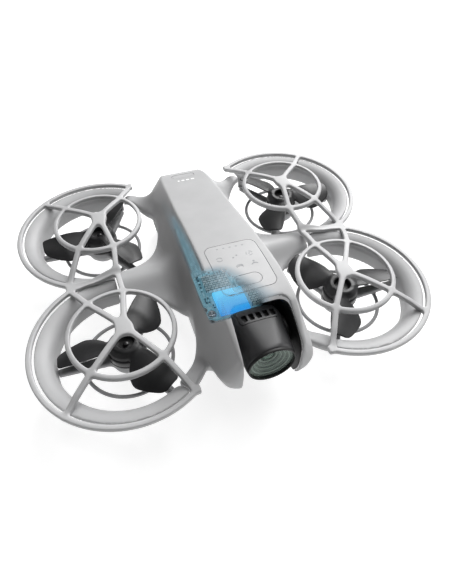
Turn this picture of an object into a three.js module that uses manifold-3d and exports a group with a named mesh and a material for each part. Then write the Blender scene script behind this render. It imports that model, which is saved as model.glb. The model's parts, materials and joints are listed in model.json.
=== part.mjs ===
// Mini palm drone: ducted four-rotor camera drone with clip-on rotor guards.
// Millimetres, +Z up, nose towards -Y. "left" and "right" are the aircraft's own: left is +X.
// Every height below is measured from the plane of the guard rims; the last lines lift it to the floor.
import * as THREE from 'three';
import { mergeVertices } from 'three/addons/utils/BufferGeometryUtils.js';
import Module from 'manifold-3d';

const wasm = await Module();
wasm.setup();

// ---------------------------------------------------------------- driving dimensions
const RIM_HEIGHT = 25.7; // guard rim plane above the belly
const ROTOR_X = 44.1; // rotor axes, from the middle of the body
const ROTOR_Y = 30.8;
const GAP = 0.3; // clearance between separate pieces that meet
const WALL = 1.6; // shell wall

const DUCT_BORE = 25.5; // radius of the duct's inner wall
const DUCT_RIM = 31.6; // outer radius of the flared duct lip
const BLADE_TIP = 24.4;
const BLADE_COUNT = 3;

const ARM_END_X = 41.3; // where the shell's arm stops and the duct lips start
const SHELL_BOTTOM = -9.5; // lower edge of the upper shell
const LIMB_BOTTOM = -6; // underside of the four limbs that reach the guard corners
const BELLY = -RIM_HEIGHT;
const BATTERY_FRONT = -22;
const BATTERY_REAR = 56;

const PIVOT_Y = -49; // camera tilt axis
const PIVOT_Z = 7.4;
const POD_HALF_WIDTH = 8.3;
const POD_RADIUS = 9.7;
const LENS_RADIUS = 8.6;
const LENS_FACE_Y = -61.3;
const LIP_HALF_WIDTH = 10.2; // opening between the lips of the nose cheeks
const BAY_HALF_WIDTH = 11.2; // room behind those lips
const BAY_BACK = -37.6;
const MOTOR_RADIUS = 4; // tilt motor, let into the right cheek
const MOTOR_END = 12; // its far face, from the middle
const NOTCH_EDGE = -45.3; // front edge of the top skin over the camera

const BOARD_TOP = 4.9; // mainboard's upper face
const BOARD_BACK = -11.5;

// body profiles as [y, value] pairs, from nose to tail
const TOP_HEIGHT = [
  [-62.1, 11.2], [-60.4, 14.4], [-57.6, 16.3], [-54, 18.8], [-50.5, 20.9], [-45.3, 22.4], [-42, 22.7],
  [-37, 22.8], [-30, 22.6], [-16, 20.9], [48, 7.2], [54, 5.4], [57.2, 2.6], [59, -2.5],
];
const TOP_HALF_WIDTH = [[-62.5, 11.3], [-57, 11.9], [-50, 12.6], [-40, 12.8], [-16, 12.3], [48, 10.8], [59, 8]];
const SIDE_HALF_WIDTH = [
  [-62.5, 12.2], [-61.6, 14.2], [-60, 15.9], [-57.5, 17.2], [-54, 17.8], [-49, 18.4], [-42, 19],
  [-34, 19.2], [-20, 17.9], [0, 17.4], [30, 17.8], [46, 17.6], [53, 15.8], [57, 12.6], [59.5, 8.5],
];
const SIDE_HEIGHT = [[-62.5, 4.5], [-54, 4.5], [-48, 3], [-40, 1.5], [20, -0.5], [59.5, -3]];

// ---------------------------------------------------------------- materials
const SHELL_GREY = 0xc9cacc;
const GUARD_GREY = 0xb9babc;
const CHARCOAL = 0x1d1d1f;
const GRAPHITE = 0x2b2c2e;
const BLACK = 0x0b0b0c;
const STEEL = 0x8f9296;
const COPPER = 0xa8673a;

const finish = (color, roughness = 0.55, metalness = 0) =>
  new THREE.MeshStandardMaterial({ color, roughness, metalness });

// ---------------------------------------------------------------- geometry helpers
const radians = (degrees) => THREE.MathUtils.degToRad(degrees);
const point2 = ([x, y]) => new THREE.Vector2(x, y);

// Straight-line value of a [position, value] table.
function valueAt(table, position) {
  const last = table.length - 1;
  if (position <= table[0][0]) return table[0][1];
  if (position >= table[last][0]) return table[last][1];
  const next = table.findIndex(([place]) => place > position);
  const [from, low] = table[next - 1];
  const [to, high] = table[next];
  return low + ((high - low) * (position - from)) / (to - from);
}

// Triangles that fill an outline, each turning the same way round as the outline does.
function capTriangles(outline) {
  const turn = Math.sign(THREE.ShapeUtils.area(outline));
  return THREE.ShapeUtils.triangulateShape(outline, []).map(([a, b, c]) => {
    const same = Math.sign(THREE.ShapeUtils.area([outline[a], outline[b], outline[c]])) === turn;
    return same ? [a, b, c] : [a, c, b];
  });
}

// Closed solid through equal rings; each ring is { outline: Vector2[], place: (u, v) => Vector3 }.
function loft(rings) {
  const count = rings[0].outline.length;
  const positions = [];
  for (const { outline, place } of rings) {
    for (const { x, y } of outline) positions.push(...place(x, y).toArray());
  }
  const index = [];
  for (let ring = 0; ring < rings.length - 1; ring++) {
    for (let corner = 0; corner < count; corner++) {
      const a = ring * count + corner;
      const b = ring * count + ((corner + 1) % count);
      index.push(a, b, b + count, a, b + count, a + count);
    }
  }
  const end = (rings.length - 1) * count;
  for (const [a, b, c] of capTriangles(rings[0].outline)) index.push(c, b, a);
  for (const [a, b, c] of capTriangles(rings.at(-1).outline)) index.push(end + a, end + b, end + c);
  const geometry = new THREE.BufferGeometry();
  geometry.setAttribute('position', new THREE.Float32BufferAttribute(positions, 3));
  geometry.setIndex(index);
  return outward(geometry);
}

// Six times the signed volume that a closed geometry holds.
function signedVolume(geometry) {
  const position = geometry.getAttribute('position');
  const corners = [0, 1, 2].map(() => new THREE.Vector3());
  let sum = 0;
  for (let i = 0; i < geometry.index.count; i += 3) {
    corners.forEach((corner, k) => corner.fromBufferAttribute(position, geometry.index.getX(i + k)));
    sum += corners[0].dot(corners[1].clone().cross(corners[2]));
  }
  return sum;
}

// Turns every face over when the geometry is inside out.
function outward(geometry) {
  if (signedVolume(geometry) < 0) {
    const { array } = geometry.index;
    for (let i = 0; i < array.length; i += 3) {
      [array[i], array[i + 1]] = [array[i + 1], array[i]];
    }
  }
  return geometry;
}

// Geometry with only merged positions, facing out.
function welded(geometry) {
  const bare = geometry.clone();
  for (const name of ['normal', 'uv']) bare.deleteAttribute(name);
  return outward(mergeVertices(bare, 1e-4));
}

function solid(geometry) {
  const bare = welded(geometry);
  return new wasm.Manifold(
    new wasm.Mesh({
      numProp: 3,
      vertProperties: Float32Array.from(bare.getAttribute('position').array),
      triVerts: Uint32Array.from(bare.index.array),
    }),
  );
}

function geometryOf(manifold) {
  const mesh = manifold.getMesh();
  const geometry = new THREE.BufferGeometry();
  geometry.setAttribute('position', new THREE.BufferAttribute(Float32Array.from(mesh.vertProperties), 3));
  geometry.setIndex(new THREE.BufferAttribute(Uint32Array.from(mesh.triVerts), 1));
  return geometry;
}

const join = (...geometries) => geometryOf(geometries.map(solid).reduce((a, b) => a.add(b)));
const cut = (body, ...tools) => geometryOf(tools.map(solid).reduce((a, b) => a.subtract(b), solid(body)));
const common = (...geometries) => geometryOf(geometries.map(solid).reduce((a, b) => a.intersect(b)));

// Box between two corners.
function block(low, high) {
  const size = high.map((value, i) => value - low[i]);
  const middle = high.map((value, i) => (value + low[i]) / 2);
  return new THREE.BoxGeometry(...size).translate(...middle);
}

// Solid of revolution about +Z from a closed [radius, z] profile that starts and ends on the axis.
function lathe(profile, segments) {
  return new THREE.LatheGeometry(profile.map(point2), segments).rotateX(Math.PI / 2);
}

// Upright prism of a plan outline.
function prism(shape, low, high) {
  const settings = { depth: high - low, bevelEnabled: false, curveSegments: 5 };
  return new THREE.ExtrudeGeometry(shape, settings).translate(0, 0, low);
}

// Prism along X of an outline drawn in (y, z).
function sidePrism(points, halfWidth) {
  const shape = new THREE.Shape(points.map(point2));
  const settings = { depth: 2 * halfWidth, bevelEnabled: false };
  const geometry = new THREE.ExtrudeGeometry(shape, settings).translate(0, 0, -halfWidth);
  return geometry.applyMatrix4(new THREE.Matrix4().set(0, 0, 1, 0, 1, 0, 0, 0, 0, 1, 0, 0, 0, 0, 0, 1));
}

function roundedRectangle(halfWidth, front, back, radius) {
  const shape = new THREE.Shape();
  shape.moveTo(-halfWidth + radius, front);
  shape.lineTo(halfWidth - radius, front);
  shape.absarc(halfWidth - radius, front + radius, radius, -Math.PI / 2, 0);
  shape.lineTo(halfWidth, back - radius);
  shape.absarc(halfWidth - radius, back - radius, radius, 0, Math.PI / 2);
  shape.lineTo(-halfWidth + radius, back);
  shape.absarc(-halfWidth + radius, back - radius, radius, Math.PI / 2, Math.PI);
  shape.lineTo(-halfWidth, front + radius);
  shape.absarc(-halfWidth + radius, front + radius, radius, Math.PI, 1.5 * Math.PI);
  return shape;
}

// Bar through 3-D points, kept upright; width across at its foot, height up.
function bar(points, width, height) {
  const outline = [[0.5, -0.5], [0.35, 0.5], [-0.35, 0.5], [-0.5, -0.5]]
    .map(([u, v]) => new THREE.Vector2(u * width, v * height));
  const path = points.map((point) => new THREE.Vector3(...point));
  const up = new THREE.Vector3(0, 0, 1);
  return loft(path.map((point, i) => {
    const before = path[Math.max(i - 1, 0)];
    const after = path[Math.min(i + 1, path.length - 1)];
    const across = after.clone().sub(before).cross(up).normalize();
    return {
      outline,
      place: (u, v) => point.clone().addScaledVector(across, u).addScaledVector(up, v),
    };
  }));
}

// Part of a ring about a vertical axis: a closed [radius, z] profile swept between two angles.
function sweptRing(profile, centre, from, to, steps) {
  const outline = profile.map(point2);
  const rings = [];
  for (let step = 0; step <= steps; step++) {
    const angle = radians(from + ((to - from) * step) / steps);
    rings.push({
      outline,
      place: (r, z) => new THREE.Vector3(
        centre[0] + r * Math.cos(angle),
        centre[1] + r * Math.sin(angle),
        z,
      ),
    });
  }
  return loft(rings);
}

// Mirror image across the X and Y planes as the signs say.
function mirrored(geometry, signX, signY = 1) {
  return outward(welded(geometry.clone().scale(signX, signY, 1)));
}

// ---------------------------------------------------------------- the model
const model = new THREE.Group();
const airframe = new THREE.Group();
airframe.position.z = RIM_HEIGHT;
model.add(airframe);

function piece(name, geometry, material) {
  const mesh = new THREE.Mesh(welded(geometry), material);
  mesh.name = name;
  airframe.add(mesh);
  return mesh;
}

const SIDES = [['left', 1], ['right', -1]];
const ENDS = [['front', -1], ['rear', 1]];

// ---------------------------------------------------------------- body surfaces
// Height of the arms and limbs at a station: low beside the rotors, high between and beyond them.
function wingHeight(y) {
  const limb = THREE.MathUtils.smoothstep(Math.abs(y), 41, 51);
  return -6 + 4 * limb + 5.4 * Math.exp(-((y / 7.5) ** 2));
}

// Half of the outer cross-section, from the crown down and out along the wing.
function bodyOutline(y, inset) {
  const top = valueAt(TOP_HEIGHT, y) - inset;
  const crease = valueAt(TOP_HALF_WIDTH, y) - inset * 0.6;
  const side = valueAt(SIDE_HALF_WIDTH, y) - inset * 1.1;
  const foot = Math.min(valueAt(SIDE_HEIGHT, y), top - 1.5);
  const half = [
    [0, top],
    [crease - 1.6, top - 0.15],
    [crease, top - 0.25 * Math.min(top - foot, 5)],
    [crease + (side - crease) * 0.62, foot + (top - foot) * 0.42],
    [side, foot],
  ];
  return half;
}

const STATIONS = [
  -62.5, -61.6, -60, -57.5, -54, -50, -45.3, -42, -37, -30, -16, -11, -7, -3.5, 0, 3.5, 7, 11,
  24, 38, 48, 53, 57, 59.5,
];

function wholeOutline(half) {
  const left = half.slice(1).reverse().map(([x, z]) => [-x, z]);
  return [...left, ...half].map(point2);
}

const alongY = (y) => (x, z) => new THREE.Vector3(x, y, z);

// The outer skin with wings that run out past the rotors, to be trimmed.
function rawBody() {
  return loft(STATIONS.map((y) => {
    const half = bodyOutline(y, 0);
    const [side] = half.at(-1);
    const wing = wingHeight(y);
    const outline = [...half, [side + 2.2, wing + 1.4], [side + 6, wing], [46, wing],
      [46, SHELL_BOTTOM], [0, SHELL_BOTTOM]];
    const left = outline.slice(1, -1).reverse().map(([x, z]) => [-x, z]);
    return { outline: [...left, ...outline].map(point2), place: alongY(y) };
  }));
}

// The room inside the body, open at the bottom.
function rawCavity() {
  const stations = STATIONS.filter((y) => y > -37 && y < 54);
  return loft([BAY_BACK + WALL, ...stations, 55].map((y) => {
    const half = bodyOutline(y, WALL);
    const [side] = half.at(-1);
    const outline = [...half, [Math.min(side, 16.4), SHELL_BOTTOM - 1]];
    return { outline: wholeOutline(outline), place: alongY(y) };
  }));
}

// Plan of body, arms and limbs; the rotor openings are cut out of it afterwards.
function planShape() {
  const limbRadius = DUCT_RIM - 0.4;
  const limbAngle = 55.7;
  const half = [[0, -62.9], [11.6, -62.9], [14.6, -61.6], [17.2, -58.6], [18.4, -54]];
  for (const angle of [222, 229, 235.7]) {
    half.push([ROTOR_X + limbRadius * Math.cos(radians(angle)), -ROTOR_Y + limbRadius * Math.sin(radians(angle))]);
  }
  const inside = DUCT_BORE - 0.8;
  half.push([ROTOR_X - inside * Math.cos(radians(limbAngle)), -ROTOR_Y - inside * Math.sin(radians(limbAngle))]);
  half.push([ARM_END_X, -20], [ARM_END_X, 20]);
  half.push([ROTOR_X - inside * Math.cos(radians(limbAngle)), ROTOR_Y + inside * Math.sin(radians(limbAngle))]);
  for (const angle of [124.3, 131, 138]) {
    half.push([ROTOR_X + limbRadius * Math.cos(radians(angle)), ROTOR_Y + limbRadius * Math.sin(radians(angle))]);
  }
  half.push([18, 51.5], [15.5, 55], [11, 58.2], [0, 59.5]);
  const mirror = half.slice(1, -1).reverse().map(([x, y]) => [-x, y]);
  return new THREE.Shape([...half, ...mirror].map(point2));
}

// Room for one rotor: straight below the blades, leaning in above them.
function rotorOpening(signX, signY) {
  const bore = DUCT_BORE + 0.1;
  const profile = [[0, -40], [bore, -40], [bore, -2], [bore - 1.4, 8], [bore - 1.4, 40], [0, 40]];
  return lathe(profile, 36).translate(signX * ROTOR_X, signY * ROTOR_Y, 0);
}

// Side view of the nose and tail, which trims the ends of the body.
function sideOutline() {
  const under = [
    [59.5, SHELL_BOTTOM - 2], [-42, SHELL_BOTTOM - 2], [-46, -7.6], [-54, -6.9], [-58.4, -6.1], [-60.2, -4.9],
    [-61.6, -1.6], [-62.4, 3], [-62.4, 7.4],
  ];
  return [...TOP_HEIGHT.map(([y, z]) => [y, z + 0.01]), ...under];
}

// Everything between the nose cheeks, open to the front, top and bottom.
function cameraBay() {
  const room = [
    [-59.2, -40], [BAY_BACK, -40], [BAY_BACK, 19.4], [-50.1, 19.4], [-53.5, 17.5], [-57.2, 14.9], [-59.6, 13.2],
    [-60.7, 10.6], [-61.1, 7], [-61.1, 3], [-60.5, -0.6], [-59.2, -3.4],
  ];
  const lower = sidePrism(room, BAY_HALF_WIDTH);
  const notch = prism(roundedRectangle(LIP_HALF_WIDTH, -70, NOTCH_EDGE, 3), -10, 40);
  return [lower, notch];
}

// Drum on the camera's tilt axis, to the right of the pod, between two distances from the middle.
function tiltDrum(radius, near, far) {
  const drum = new THREE.CylinderGeometry(radius, radius, far - near, 18).rotateZ(Math.PI / 2);
  return drum.translate(-(near + far) / 2, PIVOT_Y, PIVOT_Z);
}

// ---------------------------------------------------------------- upper shell and its controls
const panelShape = (margin) => roundedRectangle(9.6 + margin, -41 - margin, -15.5 + margin, 2.6);
const MODE_BUTTON_Y = -36.2;
const modeShape = (margin) =>
  roundedRectangle(5.15 + margin, MODE_BUTTON_Y - 2.35 - margin, MODE_BUTTON_Y + 2.35 + margin, 2.3 + margin);
const POWER_BUTTON_Y = 49;
const powerShape = (margin) =>
  roundedRectangle(5.3 + margin, POWER_BUTTON_Y - 1.8 - margin, POWER_BUTTON_Y + 1.8 + margin, 1.7 + margin);
const PORT_HALF_WIDTH = 4.6;
const PORT_LOW = -6.2;
const PORT_HIGH = -2.8;

function buildShell() {
  const skin = common(rawBody(), prism(planShape(), -30, 30), sidePrism(sideOutline(), 50));
  const openings = SIDES.flatMap(([, x]) => ENDS.map(([, y]) => rotorOpening(x, y)));
  const below = (depth) => rawBody().translate(0, 0, -depth);
  const underLimbs = SIDES.flatMap(([, x]) => ENDS.map(([, y]) =>
    mirrored(block([21, 43, SHELL_BOTTOM - 1], [60, 70, LIMB_BOTTOM]), x, y)));
  const panelSeat = cut(prism(panelShape(GAP), 10, 30), below(1));
  const shell = cut(
    skin,
    ...openings,
    ...underLimbs,
    rawCavity(),
    ...cameraBay(),
    tiltDrum(MOTOR_RADIUS + GAP, 10, MOTOR_END + GAP),
    panelSeat,
    prism(modeShape(GAP), 15, 30),
    prism(powerShape(GAP), 0, 20),
    block([-PORT_HALF_WIDTH - GAP, 50, PORT_LOW - GAP], [PORT_HALF_WIDTH + GAP, 62, PORT_HIGH + GAP]),
  );
  piece('upper_shell', shell, finish(SHELL_GREY));

  const panelPlate = cut(common(rawBody(), prism(panelShape(0), 10, 30)), below(0.7));
  piece('indicator_panel', cut(panelPlate, prism(modeShape(GAP), 10, 30)), finish(SHELL_GREY));

  const button = (shape, low) => common(rawBody(), prism(shape, low, 30));
  piece('mode_button', button(modeShape(0), 19.2), finish(SHELL_GREY));
  piece('power_button', button(powerShape(0), 3.4), finish(SHELL_GREY));
}

// ---------------------------------------------------------------- lower shell and battery
// Half section of the belly below the upper shell, with rounded lower edges.
function bellySection(margin, floor, ceiling) {
  const half = [
    [17.2 - margin, ceiling],
    [16.6 - margin, -16],
    [15.4 - margin, floor + 3.2],
    [14.2 - margin, floor + 1.1],
    [12 - margin, floor],
  ];
  const left = half.slice().reverse().map(([x, z]) => [-x, z]);
  return [...half, ...left].map(point2);
}

function buildLowerShell() {
  const ceiling = SHELL_BOTTOM - GAP;
  const back = BATTERY_FRONT - GAP;
  const outer = loft([[-36.8, 6], [-35.6, 2.5], [-33, 0.4], [-31, 0], [back, 0]].map(([y, lift]) => ({
    outline: bellySection(lift * 0.25, BELLY + lift, ceiling),
    place: alongY(y),
  })));
  const hollow = block([-15, -34.4, BELLY + 7], [15, back - 1.6, 0]);
  const nose = block([-13.4, -33, BELLY + 1.6], [13.4, back - 1.6, BELLY + 8]);
  const windowSeat = prism(roundedRectangle(7, -30.6, -24.8, 2.2), BELLY - 1, BELLY + 1.1);
  const sensorHole = prism(roundedRectangle(3, -29.6, -25.8, 1.4), BELLY - 1, BELLY + 4);
  const connectorSlot = block([-7.3, -26, BELLY + 8.7], [7.3, -20, BELLY + 14.3]);
  piece('lower_shell', cut(outer, hollow, nose, windowSeat, sensorHole, connectorSlot), finish(SHELL_GREY));

  const window = prism(roundedRectangle(7 - GAP, -30.6 + GAP, -24.8 - GAP, 2), BELLY + 0.1, BELLY + 0.8);
  piece('downward_sensor_window', window, finish(BLACK, 0.12));
  piece('downward_sensor', block([-2.4, -29, BELLY + 1.2], [2.4, -26.4, BELLY + 5]), finish(BLACK, 0.4));
}

const BUCKLE_Y = [40, 50];
const BUCKLE_Z = [-18, -12.4];

function buildBattery() {
  const ceiling = SHELL_BOTTOM - GAP;
  const sections = [[BATTERY_FRONT, 0], [52, 0], [54.6, 0.8], [BATTERY_REAR, 2.4]];
  const outer = loft(sections.map(([y, inset]) => ({
    outline: bellySection(inset, BELLY + inset, ceiling - inset * 0.2),
    place: alongY(y),
  })));
  const seats = SIDES.map(([, side]) => {
    const inner = 13.2 * side;
    const outerX = 20 * side;
    return block(
      [Math.min(inner, outerX), BUCKLE_Y[0] - GAP, BUCKLE_Z[0] - GAP],
      [Math.max(inner, outerX), BUCKLE_Y[1] + GAP, BUCKLE_Z[1] + GAP],
    );
  });
  const groove = block([-9, BATTERY_FRONT + 8, BELLY - 1], [9, BATTERY_FRONT + 9.2, BELLY + 0.6]);
  piece('battery_pack', cut(outer, ...seats, groove), finish(SHELL_GREY));
  for (const [name, side] of SIDES) {
    const buckle = sidePrism([
      [BUCKLE_Y[0], BUCKLE_Z[0]], [BUCKLE_Y[1], BUCKLE_Z[0]],
      [BUCKLE_Y[1], BUCKLE_Z[1]], [BUCKLE_Y[0], BUCKLE_Z[1]],
    ], 1.1).translate(15.8 * side, 0, 0);
    piece(`battery_buckle_${name}`, buckle, finish(GRAPHITE, 0.5));
  }
  const contacts = block([-7, BATTERY_FRONT - 2.4, BELLY + 9], [7, BATTERY_FRONT - GAP, BELLY + 14]);
  piece('battery_connector', contacts, finish(BLACK, 0.4));
}

// ---------------------------------------------------------------- rotors
// Blade outline at each radius: [radius, leading offset, its z, trailing offset, its z, thickness].
const BLADE = [
  [5.6, 2.4, -1.5, -2.4, -3.3, 1.2],
  [8.0, 3.1, -1.3, -5.6, -4.9, 1.3],
  [11.0, 3.5, -1.1, -8.0, -6.0, 1.2],
  [14.0, 3.7, -1.2, -8.8, -6.2, 1.0],
  [17.5, 3.7, -1.6, -7.8, -5.9, 0.9],
  [BLADE_TIP, 3.2, -2.5, -3.7, -4.6, 0.7],
];

function blade(spin) {
  return loft(BLADE.map(([radius, lead, leadZ, trail, trailZ, thickness]) => {
    const camber = 0.07 * (lead - trail);
    const at = (share, lift) => new THREE.Vector2(
      spin * (lead + (trail - lead) * share),
      leadZ + (trailZ - leadZ) * share + lift,
    );
    const outline = [
      at(0, 0), at(0.3, camber + thickness / 2), at(0.7, camber * 0.7 + thickness / 2),
      at(1, 0), at(0.7, camber * 0.7 - thickness / 2), at(0.3, camber - thickness / 2),
    ];
    return { outline, place: (offset, z) => new THREE.Vector3(radius, offset, z) };
  }));
}

const HUB_PROFILE = [
  [0, -3.9], [6.8, -3.9], [6.5, -2.7], [5.3, -1.1], [4.8, -0.7], [2.4, -0.7], [2.4, -2.4], [0, -2.4],
];
const BELL_PROFILE = [
  [0, -12.6], [0.8, -12.6], [0.8, -4.8], [6.1, -4.8], [6.1, -8.3], [7.2, -8.3], [7.2, -4.6], [6.8, -4.2], [0, -4.2],
];
const CUP_PROFILE = [
  [0, -15.6], [2.6, -15.4], [4.8, -14.5], [6.2, -12.8], [6.7, -10.8], [6.7, -8.6], [1.3, -8.6], [1.3, -13.2],
  [0, -13.2],
];
const STRUT_LOW = -11.4;
const STRUT_HIGH = -8.8;
const LOWER_RING_RADIUS = 16.6;

function buildRotor(end, endSign, side, sideSign) {
  const name = `${end}_${side}`;
  const spin = sideSign * endSign > 0 ? 1 : -1;
  const centre = [sideSign * ROTOR_X, endSign * ROTOR_Y, 0];
  const firstBlade = sideSign > 0 ? 0 : 180;
  const angles = Array.from({ length: BLADE_COUNT }, (_, i) => radians(firstBlade + (i * 360) / BLADE_COUNT));

  const blades = angles.map((angle) => blade(spin).rotateZ(angle));
  const propeller = join(lathe(HUB_PROFILE, 12), ...blades);
  piece(`propeller_${name}`, propeller.translate(...centre), finish(CHARCOAL, 0.45));
  piece(`motor_bell_${name}`, lathe(BELL_PROFILE, 14).translate(...centre), finish(BLACK, 0.35));

  const teeth = 9;
  const star = new THREE.Shape(Array.from({ length: teeth * 4 }, (_, i) => {
    const radius = i % 4 < 2 ? 5.4 : 3;
    const angle = ((Math.floor(i / 2) + (i % 2 ? 0.35 : -0.35)) * Math.PI) / teeth;
    return new THREE.Vector2(radius * Math.cos(angle), radius * Math.sin(angle));
  }));
  star.holes.push(new THREE.Path().absarc(0, 0, 1.3, 0, 2 * Math.PI));
  piece(`motor_stator_${name}`, prism(star, -8.2, -5.2).translate(...centre), finish(COPPER, 0.4, 0.6));

  const struts = angles.map((angle) =>
    block([5, -1.4, STRUT_LOW], [DUCT_BORE - GAP, 1.4, STRUT_HIGH]).rotateZ(angle));
  const ring = new THREE.TorusGeometry(LOWER_RING_RADIUS, 0.7, 4, 24).translate(0, 0, STRUT_LOW - 0.1);
  const boredStruts = cut(join(...struts), lathe([[0, -20], [5.4, -20], [5.4, 0], [0, 0]], 12));
  const mount = join(lathe(CUP_PROFILE, 12), boredStruts, ring);
  piece(`motor_mount_${name}`, mount.translate(...centre), finish(GUARD_GREY));
}

// ---------------------------------------------------------------- duct lips
const DUCT_PROFILE = [
  [31.6, -0.6], [29.4, -1.8], [26.6, -3.5], [25.5, -5.2], [25.5, -10], [26.8, -10], [27.2, -5.4], [31.6, -2.2],
];

function buildDuct(end, endSign, side, sideSign) {
  const lip = sweptRing(DUCT_PROFILE, [ROTOR_X, -ROTOR_Y], 93.6, -124, 20);
  const own = common(lip, block([0, -80, -20], [100, -0.25, 20]));
  piece(`duct_lip_${end}_${side}`, mirrored(own, sideSign, -endSign), finish(SHELL_GREY));
}

// ---------------------------------------------------------------- rotor guards
const RING_TUBE = 0.85; // radius of the inner rings' section
const BAR_WIDTH = 2.3;
const BAR_HEIGHT = 1.9;
const SPAR_JOIN = [40.7, 2.7, 1.7];
const WAIST = [57.4, 0, 1.1];

// One cage per rotor, on the left side: hub, inner ring, and the points each spoke passes.
const CAGES = {
  front: {
    hub: [43, -30.8, 7.1],
    ring: { centre: [44.3, -30.3, 4.4], radius: 18.7 },
    spokes: [
      [[32.6, -44.9, 4.4], [27.2, -54.8, 0.9], [25.8, -57.4, 0.3]],
      [[57, -44, 4.4], [63.4, -49.8, 1.6], [66, -52.2, 0.9]],
      [[54, -14.3, 4.4], [58.3, -5.2, 2.2], [59.4, -2.9, 1.9]],
      [[40.4, -12, 4.4], [40.6, -3, 2.2], [SPAR_JOIN[0], SPAR_JOIN[1] - GAP, SPAR_JOIN[2]]],
    ],
  },
  rear: {
    hub: [42.4, 29.5, 7.7],
    ring: { centre: [43.3, 30.2, 5.0], radius: 17.8 },
    spokes: [
      [[31.4, 43.4, 5], [26.8, 54.2, 1.3], [25.7, 57.1, 0.7]],
      [[55.6, 43.1, 5], [61.2, 52, 1.9], [62.9, 54.6, 1.2]],
      [[53.3, 15.4, 5], [58.5, 5.4, 2.4], [59.6, 3.2, 1.9]],
      [[39.4, 12.8, 5], [40.5, 4.5, 2.1], SPAR_JOIN],
    ],
  },
};

function buildCage(end, side, sideSign) {
  const { hub, ring, spokes } = CAGES[end];
  const inner = new THREE.TorusGeometry(ring.radius, RING_TUBE, 4, 24).translate(...ring.centre);
  const web = lathe([[0, -0.8], [4.2, -0.8], [4.2, 0.8], [0, 0.8]], 8).translate(...hub);
  const bars = spokes.map(([knot, ...rest]) => bar([hub, knot, ...rest], BAR_WIDTH, BAR_HEIGHT));
  piece(`guard_cage_${end}_${side}`, mirrored(join(inner, web, ...bars), sideSign), finish(GUARD_GREY));
}

const HOOP_PROFILE = [[32.4, -0.7], [33, -1.5], [34.4, -1.2], [34.4, -0.1], [33.4, 0.6]];

function buildHoop(end, endSign, side, sideSign) {
  const waist = 64.5;
  const corner = -124.3;
  const hoop = sweptRing(HOOP_PROFILE, [ROTOR_X, -ROTOR_Y], waist, corner, 22);
  const own = common(hoop, block([0, -80, -20], [100, -0.25, 20]));
  piece(`guard_hoop_${end}_${side}`, mirrored(own, sideSign, -endSign), finish(GUARD_GREY));
}

function buildWaistBar(side, sideSign) {
  const start = [SPAR_JOIN[0] + BAR_WIDTH / 2 + GAP, 0.4, 1.3];
  const geometry = bar([start, [50, 0, 1.1], WAIST], 2.6, 1.8);
  piece(`guard_waist_${side}`, mirrored(geometry, sideSign), finish(GUARD_GREY));
}

// ---------------------------------------------------------------- camera
function buildCamera() {
  // pod: round at the lens, flat-sided at the pivot, closing in an arc behind it
  const sections = [-60.6, -57, -53, PIVOT_Y, -46, -43, -41, -39.8].map((y) => {
    const behind = Math.max(y - PIVOT_Y, 0);
    const forward = Math.max(PIVOT_Y - y, 0) / (PIVOT_Y - LENS_FACE_Y);
    const halfHeight = Math.sqrt(POD_RADIUS ** 2 - behind ** 2) - (POD_RADIUS - LENS_RADIUS) * forward;
    const halfWidth = POD_HALF_WIDTH + (LENS_RADIUS - POD_HALF_WIDTH) * forward;
    const power = 2 / (4.5 - 2.5 * forward);
    const outline = Array.from({ length: 20 }, (_, i) => {
      const angle = (i * 2 * Math.PI) / 20;
      const bulge = (value) => Math.sign(value) * Math.abs(value) ** power;
      return new THREE.Vector2(
        halfWidth * bulge(Math.cos(angle)),
        PIVOT_Z + halfHeight * bulge(Math.sin(angle)),
      );
    });
    return { outline, place: alongY(y) };
  });
  const roundAboutY = (profile, segments) =>
    new THREE.LatheGeometry(profile.map(point2), segments).translate(0, 0, PIVOT_Z);
  const bore = roundAboutY([[0, -62], [7.5, -62], [7.5, -51.6], [0, -51.6]], 20);
  piece('pod_housing', cut(loft(sections), bore), finish(GRAPHITE, 0.4));
  const ringProfile = [[7.4, -61.5], [7.9, -61.7], [8.4, -61.3], [8.5, -60.9], [7.4, -60.9], [7.4, -61.5]];
  piece('lens_ring', roundAboutY(ringProfile, 24), finish(BLACK, 0.3));
  const glassProfile = [[0, -61.5], [4, -61.4], [7.1, -61], [7.1, -60.1], [0, -60.1]];
  piece('lens_glass', roundAboutY(glassProfile, 24), finish(0x24302b, 0.05));
  const barrelProfile = [[0, -59.8], [5.6, -59.8], [6.4, -58.8], [6.4, -54.2], [0, -54.2]];
  piece('lens_barrel', roundAboutY(barrelProfile, 20), finish(BLACK, 0.4));
  const board = block([-4.8, -53.9, PIVOT_Z - 4.8], [4.8, -52.2, PIVOT_Z + 4.8]);
  piece('camera_sensor_board', board, finish(0x1f5a4a, 0.5));

  // fixed bracket on the left of the pod, motor in the right cheek
  const bracket = join(
    new THREE.CylinderGeometry(5, 5, 1, 18).rotateZ(Math.PI / 2).translate(9.2, PIVOT_Y, PIVOT_Z),
    sidePrism([[-49, 3.4], [-38.9, 1.4], [-38.9, 9.4], [-49, 11.4]], 0.5).translate(9.2, 0, 0),
  );
  piece('gimbal_bracket', bracket, finish(BLACK, 0.4));
  const motor = tiltDrum(MOTOR_RADIUS, POD_HALF_WIDTH + GAP, MOTOR_END);
  piece('gimbal_motor', motor, finish(GRAPHITE, 0.35, 0.4));
}

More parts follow.
